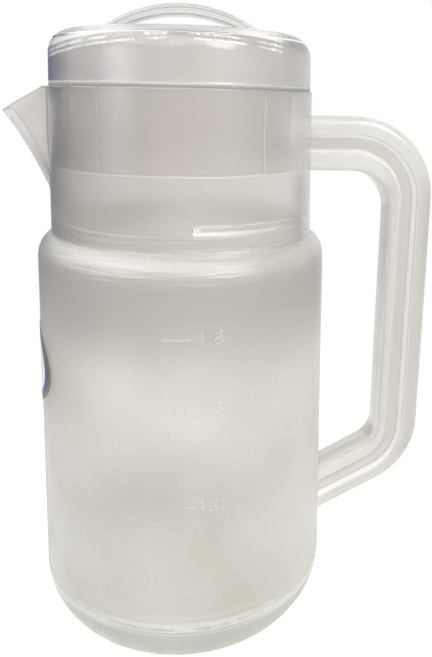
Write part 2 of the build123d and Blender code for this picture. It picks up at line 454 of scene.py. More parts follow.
class Mould(Enum):
    """How the steel of the mould was finished, as a roughness of the plastic."""

    POLISHED = 0.1
    SATIN = 0.22
    SOFT = 0.33
    BLASTED = 0.42


class Finish:
    """A finish makes a material of its own name. Its patterns lie on Object coordinates."""

    name: str

    def surface(self, add: Adder, place: Socket) -> Socket:
        """Adds the finish's nodes and returns its shader."""
        raise NotImplementedError

    def build(self) -> bpy.types.Material:
        """Makes the material.

        Returns:
            The material.
        """
        material = bpy.data.materials.new(self.name)
        add = node_adder(material)
        place = add("TexCoord")["Object"]
        add("OutputMaterial", {"Surface": self.surface(add, place)})
        return material


@dataclass(frozen=True)
class PaintedShade:
    """Painted shade on a stretch of wall: its darker tint, and the heights at which it starts, is whole,
    lasts and ends.

    It comes in between two depths, which are values of y.
    """

    tint: str
    heights: tuple[float, float, float, float]
    depths: tuple[float, float] = (40.0, -30.0)


@dataclass(frozen=True)
class Ripples:
    """Level ripples where the plastic froze unevenly. A small stretch draws them out round the jug."""

    spacing: float
    depth: float
    start: float
    stretch: float
    easing: float = 8.0


@dataclass(frozen=True)
class Lines:
    """White level lines, where small roundings gather light: their heights, half breadth and whiteness."""

    heights: tuple[float, ...]
    half: float
    white: float


@dataclass(frozen=True)
class Sparks(Lines):
    """Lines broken up into sparks, in groups: their spacing, and where each noise lets them in."""

    spacing: float
    group: float = 14.0
    spark_cut: tuple[float, float] = (0.42, 0.56)
    group_cut: tuple[float, float] = (0.33, 0.5)


@dataclass(frozen=True)
class MouldedPlastic(Finish):
    """Clear styrene plastic (SAN), injection moulded. It is glassy, faintly grey and bends light by 1.57.

    Its tint is lost once by each wall that light crosses, so where four walls lie behind each other the
    jug is darker than where there are two. A share of milk scatters the light in it. Slow flow marks and
    the mould's grain vary the tint and the gloss. The grain is drawn coarser than its real 0.1 mm so that
    it shows. Lengths are in millimetres.
    """

    name: str
    tint: str
    flow_tint: str
    mould: Mould
    milk: float = 0.2
    grain: float = 0.8
    grain_depth: float = 0.02
    flow: float = 45.0
    flow_weight: float = 1.9
    grain_weight: float = 1.6
    weight_shift: float = -1.25
    gloss_spread: float = 0.15
    shade_tint: str = ""
    painted_shade: PaintedShade | None = None
    ripples: Ripples | None = None
    polished: tuple[float, float] | None = None
    polished_waver: float = 16.0
    lines: Lines | None = None
    sparks: Sparks | None = None
    shine_bow: float = 0.0
    shine_end: float = 0.0
    shine_end_easing: float = 8.0
    glint_tint: str = "FDFDFC"
    glint_clear: float = 0.15
    lamp_tint: str = "E8E8E8"
    ior: float = 1.57

    def level_lines(self, add: Adder, height: Socket, lines: Lines) -> Socket:
        """Adds level lines: 1 at each height, easing to 0 at half a line's breadth from it.

        Args:
            add: What adds the nodes.
            height: The height to judge by.
            lines: The lines.

        Returns:
            The share of white.
        """
        shares = []
        for level in lines.heights:
            offset = add("Math", {0: height, 1: level * MM}, operation="SUBTRACT")[0]
            away = add("Math", {0: offset}, operation="ABSOLUTE")[0]
            reach = span(lines.half * MM, lines.half * MM / 3)
            shares.append(add("MapRange", {"Value": away, **reach}, **EASED)[0])
        return combined(add, "MAXIMUM", shares)

    def glint(self, add: Adder, own: Socket, place: Socket, across: Socket, height: Socket) -> Socket:
        """Adds the share of white: the piece's own glint, its level lines, and its sparks.

        Lines and sparks stand at z + bow * x^2, so that with a bow they run lower at the sides. They may
        end at a value of x.

        Args:
            add: What adds the nodes.
            own: The piece's own glint.
            place: Object coordinates.
            across: Their x.
            height: Their z.

        Returns:
            The share of white.
        """
        total = add("MapRange", {"Value": own, **span(0.0, 1.0)}, **EASED)[0]
        if self.shine_bow:
            square = add("Math", {0: across, 1: across}, operation="MULTIPLY")[0]
            height = add("Math", {0: square, 1: self.shine_bow, 2: height}, operation="MULTIPLY_ADD")[0]
        if self.lines:
            line = self.level_lines(add, height, self.lines)
            faint = add("Math", {0: line, 1: self.lines.white}, operation="MULTIPLY")[0]
            total = add("Math", {0: total, 1: faint}, operation="MAXIMUM")[0]
        if self.sparks:
            sparks = self.sparks
            lit = self.level_lines(add, height, sparks)
            for spacing, detail, cut, white in (
                    (sparks.spacing, 2.0, sparks.spark_cut, sparks.white),
                    (sparks.group * sparks.spacing, 0.0, sparks.group_cut, 1.0)):
                scale = 1 / (spacing * MM)
                noise = add("TexNoise", {"Vector": place, "Scale": scale, "Detail": detail})["Fac"]
                let_in = add("MapRange", {"Value": noise, **span(*cut, high=white)}, **EASED)[0]
                lit = add("Math", {0: lit, 1: let_in}, operation="MULTIPLY")[0]
            total = add("Math", {0: total, 1: lit}, operation="MAXIMUM")[0]
        if self.shine_end:
            ends = span(self.shine_end * MM, (self.shine_end - self.shine_end_easing) * MM)
            kept = add("MapRange", {"Value": across, **ends}, **EASED)[0]
            total = add("Math", {0: total, 1: kept}, operation="MULTIPLY")[0]
        return total

    def colour(self, add: Adder, flow: Socket, grain: Socket, depth: Socket, height: Socket) -> Socket:
        """Adds the tint: two near tints mixed by flow marks and grain, and a darker third as painted shade.

        The share of the second is flow weight * flow + grain weight * grain + shift. The third is painted
        shade: it darkens the barrel high under the shoulder on the side of the litre marks, and the base on
        the other side.

        Args:
            add: What adds the nodes.
            flow: Noise for the flow marks.
            grain: Noise for the grain.
            depth: The y of a point.
            height: Its z.

        Returns:
            The tint.
        """
        grainy = {0: grain, 1: self.grain_weight, 2: self.weight_shift}
        share = add("Math", grainy, operation="MULTIPLY_ADD")[0]
        share = add("Math", {0: flow, 1: self.flow_weight, 2: share}, operation="MULTIPLY_ADD")[0]
        tint = add("Mix", {"Factor": share, 6: linear(self.tint), 7: linear(self.flow_tint)}, **COLOURS)[2]
        # Painted shade: a darker tint over part of the wall.
        if self.painted_shade:
            start, whole, last, end = (level * MM for level in self.painted_shade.heights)
            near, far = (edge * MM for edge in self.painted_shade.depths)
            inside = [add("MapRange", {"Value": value, **span(*edges)}, **EASED)[0] for value, edges in (
                (height, (start, whole)), (height, (end, last)), (depth, (near, far)))]
            painted_shade = combined(add, "MULTIPLY", inside)
            tint = add("Mix", {"Factor": painted_shade, 6: tint, 7: linear(self.painted_shade.tint)}, **COLOURS)[2]
        return tint

    def bumps(self, add: Adder, place: Socket, grain: Socket, height: Socket) -> Socket:
        """Adds the relief: the mould's grain, and level ripples above their starting height.

        Args:
            add: What adds the nodes.
            place: Object coordinates.
            grain: Noise for the grain.
            height: The z of a point.

        Returns:
            The bent normal.
        """
        normal = add("Bump", {"Height": grain, "Strength": 1.0, "Distance": self.grain_depth * MM})[0]
        if self.ripples:
            start, stretch = self.ripples.start, self.ripples.stretch
            flat = add("Mapping", {"Vector": place, "Scale": (stretch, stretch, 1.0)})[0]
            scale = 1 / (self.ripples.spacing * MM)
            wave = add("TexNoise", {"Vector": flat, "Scale": scale, "Detail": 1.0})["Fac"]
            rise = span(start * MM, (start + self.ripples.easing) * MM)
            strength = add("MapRange", {"Value": height, **rise}, **EASED)[0]
            normal = add("Bump", {
                "Height": wave, "Strength": strength, "Distance": self.ripples.depth * MM,
                "Normal": normal})[0]
        return normal

    def gloss(self, add: Adder, flow: Socket, height: Socket) -> Socket:
        """Adds the roughness: the mould's, varied by flow marks, or easing to a soft one higher up.

        Args:
            add: What adds the nodes.
            flow: Noise for the flow marks.
            height: The z of a point.

        Returns:
            The roughness.
        """
        rough = self.mould.value
        if self.polished is None:
            low, high = rough * (1 - self.gloss_spread), rough * (1 + self.gloss_spread)
            return add("MapRange", {"Value": flow, **span(*NOISE_REACH, low, high)}, **EASED)[0]
        wavy = add("Math", {0: flow, 1: self.polished_waver * MM, 2: height}, operation="MULTIPLY_ADD")[0]
        start, end = ((level + self.polished_waver / 2) * MM for level in self.polished)
        return add("MapRange", {"Value": wavy, **span(start, end, rough, Mould.SOFT.value)}, **EASED)[0]

    def surface(self, add: Adder, place: Socket) -> Socket:
        """Adds the plastic. Lamps shine through it as through real plastic, so its shadow is pale.

        Args:
            add: What adds the nodes.
            place: Object coordinates.

        Returns:
            The shader.
        """
        across, depth, height = add("SeparateXYZ", {0: place})
        flow = add("TexNoise", {"Vector": place, "Scale": 1 / (self.flow * MM), "Detail": 2.0})["Fac"]
        grain = add("TexNoise", {"Vector": place, "Scale": 1 / (self.grain * MM), "Detail": 3.0})["Fac"]
        own = add("Attribute", attribute_name="glint")["Fac"]
        glint = self.glint(add, own, place, across, height)
        clear = add("MapRange", {"Value": glint, **span(0.0, 1.0, 1 - self.milk, self.glint_clear)})[0]
        tint = self.colour(add, flow, grain, depth, height)
        if self.shade_tint:
            shade = add("MapRange", {"Value": own, **span(0.0, -1.0)}, **EASED)[0]
            tint = add("Mix", {"Factor": shade, 6: tint, 7: linear(self.shade_tint)}, **COLOURS)[2]
        tint = add("Mix", {"Factor": glint, 6: tint, 7: linear(self.glint_tint)}, **COLOURS)[2]
        plastic = add("BsdfPrincipled", {
            "Base Color": tint, "Roughness": self.gloss(add, flow, height), "IOR": self.ior,
            "Transmission Weight": clear, "Normal": self.bumps(add, place, grain, height)})[0]
        passed = add("BsdfTransparent", {"Color": linear(self.lamp_tint)})[0]
        shadow = add("LightPath")["Is Shadow Ray"]
        return add("MixShader", {0: shadow, 1: plastic, 2: passed})[0]


@dataclass(frozen=True)
class Silicone(Finish):
    """Translucent silicone rubber, moulded: milky, with a soft sheen and a fine velvety grain.

    Over half of the light goes through and the rest is scattered. Its upper edge shows a whiter line,
    which is a painted highlight. Lengths are in millimetres.
    """

    name: str = "translucent_silicone"
    colour: str = "CFCCC9"
    painted_highlight_colour: str = "FCFBFA"
    painted_highlight_heights: tuple[float, float] = (249.5, 249.8)
    grain: float = 0.4
    grain_depth: float = 0.02
    grain_strength: float = 0.6
    roughness: tuple[float, float] = (0.3, 0.5)
    ior: float = 1.41
    clear: float = 0.6

    def surface(self, add: Adder, place: Socket) -> Socket:
        """Adds the rubber.

        Args:
            add: What adds the nodes.
            place: Object coordinates.

        Returns:
            The shader.
        """
        grain = add("TexNoise", {"Vector": place, "Scale": 1 / (self.grain * MM), "Detail": 2.0})["Fac"]
        normal = add("Bump", {
            "Height": grain, "Strength": self.grain_strength, "Distance": self.grain_depth * MM})[0]
        rough = add("MapRange", {"Value": grain, **span(0.0, 1.0, *self.roughness)})[0]
        height = add("SeparateXYZ", {0: place})["Z"]
        # Painted highlight: a whiter line along the upper edge.
        start, end = (level * MM for level in self.painted_highlight_heights)
        share = add("MapRange", {"Value": height, **span(start, end)}, **EASED)[0]
        colour = add("Mix", {
            "Factor": share, 6: linear(self.colour), 7: linear(self.painted_highlight_colour)}, **COLOURS)[2]
        return add("BsdfPrincipled", {
            "Base Color": colour, "Roughness": rough, "IOR": self.ior,
            "Transmission Weight": self.clear, "Normal": normal})[0]


@dataclass(frozen=True)
class PrintedFilm(Finish):
    """Glossy polypropylene label film, printed in plain bands: a tan edge, a navy border, a blank panel."""

    name: str = "printed_polypropylene_film"
    panel: str = "E6E6E8"
    border: str = "1B2266"
    edge: str = "746046"
    middle_height: float = 129.5
    half_width: float = 32.0
    half_height: float = 19.0
    panel_share: float = 0.8
    border_share: float = 0.94
    ink_grain: float = 0.5
    roughness: tuple[float, float] = (0.22, 0.34)
    ior: float = 1.2

    def surface(self, add: Adder, place: Socket) -> Socket:
        """Adds the film: colour by sqrt((y / w)^2 + (z / h)^2), measured from the label's middle.

        Args:
            add: What adds the nodes.
            place: Object coordinates.

        Returns:
            The shader.
        """
        centred = add("Mapping", {
            "Vector": place, "Location": (0, 0, self.middle_height * MM),
            "Scale": (1, self.half_width * MM, self.half_height * MM)}, vector_type="TEXTURE")[0]
        flat = add("VectorMath", {0: centred, 1: (0, 1, 1)}, operation="MULTIPLY")["Vector"]
        out = add("VectorMath", {0: flat}, operation="LENGTH")["Value"]
        bands = add("ValToRGB", {"Fac": out})[0]
        ramp = bands.node.color_ramp
        ramp.interpolation = "CONSTANT"
        ramp.elements[0].color = linear(self.panel)
        ramp.elements[1].position = self.panel_share
        ramp.elements[1].color = linear(self.border)
        ramp.elements.new(self.border_share).color = linear(self.edge)
        ink = add("TexNoise", {"Vector": place, "Scale": 1 / (self.ink_grain * MM), "Detail": 2.0})["Fac"]
        rough = add("MapRange", {"Value": ink, **span(0.0, 1.0, *self.roughness)})[0]
        return add("BsdfPrincipled", {"Base Color": bands, "Roughness": rough, "IOR": self.ior})[0]


# Sizes shared by the pieces


@dataclass(frozen=True)
class JugSizes:
    """Radii and heights of the jug's body and their drafts, in millimetres."""

    barrel_radius: float = 66.8
    base_height: float = 30.3
    shoulder_height: float = 178.0
    shoulder_radius: float = 63.4
    neck_height: float = 187.9
    neck_radius: float = 57.3
    rim_height: float = 248.6
    rim_radius: float = 56.0
    wall: float = 2.7
    glue_gap: float = 0.1
    cap_bottom: float = 250.3
    cap_top: float = 270.8
    ceiling_height: float = 268.0
    skirt_radius: float = 52.8

    def barrel_outside(self, height: Array) -> Array:
        """Outside radius of the barrel: it loses its draft evenly from the base to the shoulder."""
        share = (height - self.base_height) / (self.shoulder_height - self.base_height)
        return self.barrel_radius - (self.barrel_radius - self.shoulder_radius) * share

    def neck_outside(self, height: Array) -> Array:
        """Outside radius of the neck: it narrows evenly from the shoulder to the rim."""
        share = (height - self.neck_height) / (self.rim_height - self.neck_height)
        return self.neck_radius - (self.neck_radius - self.rim_radius) * share


@dataclass
class Body:
    """The barrel and the base cup, both turned from a closed outline."""

    sizes: JugSizes
    spigot_top: float = 194.1
    spigot_outside: float = 54.37
    spigot_wall: float = 2.4
    foot_radius: float = 36.3
    floor_thickness: float = 4.0
    lap_height: float = 3.2
    lap_wall: float = 1.4
    edge: float = 0.35
    edge_steps: int = 4
    shoulder_steps: tuple[int, int] = (28, 24)
    cup_steps: tuple[int, int] = (40, 36)
    spacing: float = 3.0
    pole_ring: float = 1.0
    painted_side_highlight: float = 0.45
    painted_highlight_bottom: tuple[float, float] = (25.0, 26.5)
    painted_highlight_top: tuple[float, float] = (30.3, 29.8)
    painted_highlight_sides: tuple[float, float] = (0.3, 0.55)

    def barrel_outline(self) -> Array:
        """Closed outline of the barrel: side, shoulder arc, spigot, and the same inside.

        Returns:
            Points (radius, height), in order.
        """
        s = self.sizes
        slope = np.array([s.shoulder_radius - s.barrel_radius, s.shoulder_height - s.base_height])
        shoulder = tangent_arc((s.shoulder_radius, s.shoulder_height), slope,
                               (s.neck_radius, s.neck_height), self.shoulder_steps[0])
        spigot_inside = self.spigot_outside - self.spigot_wall
        inner = tangent_arc((s.shoulder_radius - s.wall, s.shoulder_height), slope,
                            (spigot_inside, s.neck_height - s.wall), self.shoulder_steps[1])[::-1]
        seat = s.neck_radius - s.wall - s.glue_gap
        spigot = [(seat, s.neck_height), (self.spigot_outside, self.spigot_top),
                  (spigot_inside, self.spigot_top), (spigot_inside, s.neck_height)]
        rounded = [rounded_corner(*spigot[i:i + 3], 2 * self.edge, self.edge_steps) for i in (0, 1)]
        foot = rounded_outline(
            [(s.barrel_radius - s.wall, s.base_height), (s.barrel_radius, s.base_height),
             (s.shoulder_radius, s.shoulder_height)], [self.edge, self.edge, 0], self.edge_steps)[:-1]
        return spread(np.concatenate([foot, shoulder, spigot[:1], *rounded, inner]), self.spacing)

    def barrel(self) -> Skin:
        """The barrel's skin: its outline carried round the axis."""
        return lathe(self.barrel_outline())

    def base_outline(self) -> Array:
        """Outline of the base cup from the axis under the foot to the axis on the floor inside.

        Returns:
            Points (radius, height), in order.
        """
        s = self.sizes
        lap_top = s.base_height + self.lap_height
        lap_outside = s.barrel_outside(lap_top) - s.wall - s.glue_gap
        lap_inside = lap_outside - self.lap_wall
        outside = tangent_arc((self.foot_radius, 0), (1, 0), (s.barrel_radius, s.base_height - self.edge),
                              self.cup_steps[0])
        seat = s.barrel_radius - s.wall - s.glue_gap
        lap = rounded_outline(
            [(s.barrel_radius, s.base_height - FILM_GAP), (seat, s.base_height - FILM_GAP),
             (lap_outside, lap_top), (lap_inside, lap_top)],
            [self.edge, 0, self.edge, self.edge], self.edge_steps)
        inside = tangent_arc((self.foot_radius, self.floor_thickness), (1, 0),
                             (lap_inside, s.base_height), self.cup_steps[1])[::-1]
        start, end = [(self.pole_ring, 0)], [(self.pole_ring, self.floor_thickness)]
        return spread(np.concatenate([start, outside, lap, inside, end]), self.spacing, closed=False)

    def base_cup(self) -> Skin:
        """The base cup's skin: its outline carried round the axis, closed by a pole below and above.

        A painted highlight whitens a band near its top edge on the sides of the handle and the spout, by |cos
        a|.

        Returns:
            The closed skin.
        """
        outline = self.base_outline()
        height = outline[:, 1:]
        # Painted highlight: a whiter band near the top edge, on the sides of the handle and the spout.
        highlight_band = eased(height, *self.painted_highlight_bottom) * eased(height, *self.painted_highlight_top)
        sides = eased(np.abs(np.cos(even_turn(ROUND_STEPS))), *self.painted_highlight_sides)
        return lathe(outline, ring=False, glint=self.painted_side_highlight * highlight_band * sides)


@dataclass
class Neck:
    """The neck collar with its beak spout and the bead inside it, as one height field round the axis."""

    sizes: JugSizes
    keel_tip: tuple[float, float] = (-76.6, 238.5)
    keel_root_height: float = 201.0
    keel_bow: float = 1.5
    half_angle: float = 31.0
    beak_wall: float = 2.2
    nose_rounding: float = 0.45
    join_rounding: float = 1.6
    lip_rounding: float = 0.7
    bead_low: float = 194.2
    bead_height: float = 4.4
    bead_depth: float = 1.2
    bead_edge: float = 1.6
    bead_start: float = -87.0
    bead_sweep: float = 70.0
    bead_fading: float = 22.0
    bead_far_glint: float = 0.25
    bead_gain: float = 1.5
    blob_glint: float = 0.8
    blob_length: float = 5.0
    beak_milk: float = 0.3
    beak_milk_from: tuple[float, float] = (0.5, 3.5)
    bond_milk: float = 0.36
    bond_height: float = 226.6
    bond_reach: tuple[float, float] = (17.0, 9.0)
    bond_degrees: tuple[float, float] = (58.0, 35.0)
    farthest: float = 90.0
    spout_cosine: float = -0.5
    halvings: int = 40
    nose_columns: int = 141
    nose_crowding: float = 1.6
    nose_reach: float = 33.0
    end_columns: int = 33
    end_reach: float = 4.0
    rest_columns: int = 200
    rest_reach: float = 146.0
    lip_steps: int = 5
    outer_rows: int = 64
    inner_runs: tuple[tuple[float, float, int], ...] = ((0.0, 0.085, 6), (0.085, 0.19, 26), (0.19, 1.0, 52))

    def keel(self) -> tuple[Array, float]:
        """Centre and radius of the keel's arc, which bows towards the neck between its tip and its root.

        The radius is ((chord / 2)^2 + bow^2) / (2 bow), and the centre lies on the chord's normal.

        Returns:
            The centre as (x, z), and the radius.
        """
        tip = np.array(self.keel_tip)
        root = np.array([-self.sizes.neck_outside(self.keel_root_height), self.keel_root_height])
        chord = root - tip
        radius = ((np.linalg.norm(chord) / 2) ** 2 + self.keel_bow ** 2) / (2 * self.keel_bow)
        normal = np.array([-chord[1], chord[0]]) / np.linalg.norm(chord)
        return tip + chord / 2 + normal * (self.keel_bow - radius), radius

    def beak_reach(self, azimuth: Array, height: Array, setback: float, nose: float) -> Array:
        """How far the beak's V reaches from the axis at each azimuth and height.

        A point is in the V where sqrt(y^2 + nose^2) <= (d - radius - setback) tan(half angle), with d
        its distance from the keel's centre in the XZ plane. The furthest such reach is found by halving.

        Args:
            azimuth: Angles round the axis.
            height: Heights, of the same shape.
            setback: How far the V's nose lies behind the keel.
            nose: How much the nose is rounded.

        Returns:
            The reach, or zero away from the spout.
        """
        centre, radius = self.keel()
        slope = np.tan(np.radians(self.half_angle))
        low = np.zeros(np.broadcast(azimuth, height).shape)
        high = np.full_like(low, self.farthest)
        for _ in range(self.halvings):
            middle = (low + high) / 2
            distance = np.hypot(middle * np.cos(azimuth) - centre[0], height - centre[1])
            side = np.hypot(middle * np.sin(azimuth), nose)
            inside = side <= (distance - radius - setback) * slope
            low = np.where(inside, middle, low)
            high = np.where(inside, high, middle)
        return np.where(np.cos(azimuth) < self.spout_cosine, low, 0.0)

    def blended(self, tube: Array, beak: Array, rounding: float) -> Array:
        """The larger of two radii, filleted where they are within the rounding: max + k h^2 / 4."""
        near = np.clip(rounding - np.abs(tube - beak), 0, None) / rounding
        return np.maximum(tube, beak) + rounding * near ** 2 / 4

    def outside(self, azimuth: Array, height: Array) -> Array:
        """Outside radius of the neck and the beak."""
        beak = self.beak_reach(azimuth, height, 0.0, self.nose_rounding)
        return self.blended(self.sizes.neck_outside(height), beak, self.join_rounding)

    def inside(self, azimuth: Array, height: Array) -> Array:
        """Inside radius of the neck and of the channel in the beak."""
        setback = self.beak_wall / np.sin(np.radians(self.half_angle))
        channel = self.beak_reach(azimuth, height, setback, self.nose_rounding)
        return self.blended(self.sizes.neck_outside(height) - self.sizes.wall, channel, self.join_rounding)

    def lip_height(self, radius: Array, azimuth: Array) -> Array:
        """Height of the top edge: level at the rim, then down to the tip in proportion to the overhang.

        Args:
            radius: Where the edge is, from the axis.
            azimuth: Its angle.

        Returns:
            The height.
        """
        s = self.sizes
        slope = (s.rim_height - self.keel_tip[1]) / (-self.keel_tip[0] - s.rim_radius)
        return s.rim_height - slope * np.clip(-radius * np.cos(azimuth) - s.rim_radius, 0, None)

    def top(self, azimuth: Array, outer: bool) -> tuple[Array, Array]:
        """Radius and height where a side meets the top edge, found by stepping half way many times.

        Args:
            azimuth: Angles round the axis.
            outer: Whether the outer side is meant.

        Returns:
            The radii and the heights.
        """
        side = self.outside if outer else self.inside
        height = np.full_like(azimuth, self.sizes.rim_height)
        for _ in range(self.halvings):
            height = (height + self.lip_height(side(azimuth, height), azimuth)) / 2
        return side(azimuth, height), height

    def bead(self, azimuth: Array, height: Array) -> Array:
        """How far the bead stands out inside: a capsule along the wall with an eased edge.

        Args:
            azimuth: Angles round the axis.
            height: Heights, of a shape that fits them.

        Returns:
            How far it stands out at each.
        """
        half = self.bead_height / 2
        radius = self.sizes.neck_outside(self.bead_low) - self.sizes.wall
        middle = np.radians(self.bead_start + self.bead_sweep / 2)
        turn = half_turned(azimuth - middle)
        straight = radius * np.radians(self.bead_sweep / 2) - half
        along = np.clip(np.abs(turn) * radius - straight, 0, None)
        distance = np.hypot(along, height - self.bead_low - half)
        return self.bead_depth * smooth_step((half - distance) / self.bead_edge)

    def azimuths(self) -> Array:
        """Angles round the axis, closer together at the beak's nose and at the bead's ends.

        Returns:
            The angles, rising.
        """
        share = np.linspace(-1, 1, self.nose_columns)
        beak = np.sign(share) * np.abs(share) ** self.nose_crowding * self.nose_reach + 180
        ends = [self.bead_start, self.bead_start + self.bead_sweep]
        fine = [end + np.linspace(-self.end_reach, self.end_reach, self.end_columns) for end in ends]
        rest = np.linspace(-self.rest_reach, self.rest_reach, self.rest_columns)
        return np.radians(np.unique(np.round(np.concatenate([beak % 360, *fine, rest]) % 360, 3)))

    def glint(self, azimuth: Array, radius: Array, height: Array, inner: int) -> Array:
        """Shares of white on the collar's grid.

        Painted highlights: the bead's slopes shine, and fade with the distance d along it by
        far + (1 - far) exp(-d / fading). At its start the whole bead does, by exp(-(d / length)^2). The beak
        is milky where it stands out from the neck. Painted light whitens the neck's outside round the
        handle's root.

        Args:
            azimuth: The angles of the columns.
            radius: The radii of the grid.
            height: Its heights.
            inner: How many of its last rows are the inside.

        Returns:
            The shares.
        """
        # Painted highlights on the bead's slopes and on its start.
        bead = self.bead(azimuth, height[-inner:])
        slope = np.abs(np.gradient(bead, axis=0))
        along = (azimuth - np.radians(self.bead_start)) % (2 * np.pi) * self.sizes.neck_radius
        far = self.bead_far_glint
        fading = far + (1 - far) * np.exp(-along / self.bead_fading)
        slopes = np.clip(slope / slope.max() * self.bead_gain, 0, 1) * fading
        blob = self.blob_glint * bead / self.bead_depth * np.exp(-(along / self.blob_length) ** 2)
        glint = self.beak_milk * eased(radius - self.sizes.neck_outside(height), *self.beak_milk_from)
        glint[-inner:] = np.maximum(glint[-inner:], np.maximum(slopes, blob))
        # Painted light: a whiter patch on the neck's outside round the handle's root.
        rise = np.abs(height[:self.outer_rows] - self.bond_height)
        turn = np.degrees(np.abs(half_turned(azimuth)))
        bond = self.bond_milk * eased(turn, *self.bond_degrees) * eased(rise, *self.bond_reach)
        glint[:self.outer_rows] = np.maximum(glint[:self.outer_rows], bond)
        return glint

    def collar(self) -> Skin:
        """The collar's skin: up the outside, over the rounded lip and down the inside.

        Returns:
            The closed skin.
        """
        azimuth = self.azimuths()[None]
        low = self.sizes.neck_height + FILM_GAP
        edge = self.lip_rounding
        turn = np.linspace(0, np.pi / 2, self.lip_steps)[:, None]
        outer_radius, outer_top = self.top(azimuth, outer=True)
        inner_radius, inner_top = self.top(azimuth, outer=False)
        rise = np.linspace(0, 1, self.outer_rows)[:, None]
        fall = np.unique(np.concatenate([np.linspace(*run) for run in self.inner_runs]))[::-1, None]
        outer_height = low + (outer_top - edge - low) * rise
        inner_height = low + (inner_top - edge - low) * fall
        radius = np.concatenate([
            self.outside(azimuth + 0 * rise, outer_height),
            outer_radius - edge + edge * np.cos(turn[1:]),
            inner_radius + edge - edge * np.cos(turn[:0:-1]),
            self.inside(azimuth + 0 * fall, inner_height) - self.bead(azimuth, inner_height),
        ])
        height = np.concatenate([
            outer_height,
            outer_top - edge + edge * np.sin(turn[1:]),
            inner_top - edge + edge * np.sin(turn[:0:-1]),
            inner_height,
        ])
        glint = self.glint(azimuth, radius, height, len(fall))
        return wrapped_skin(turned(radius, height, azimuth), loop=True, glint=glint)


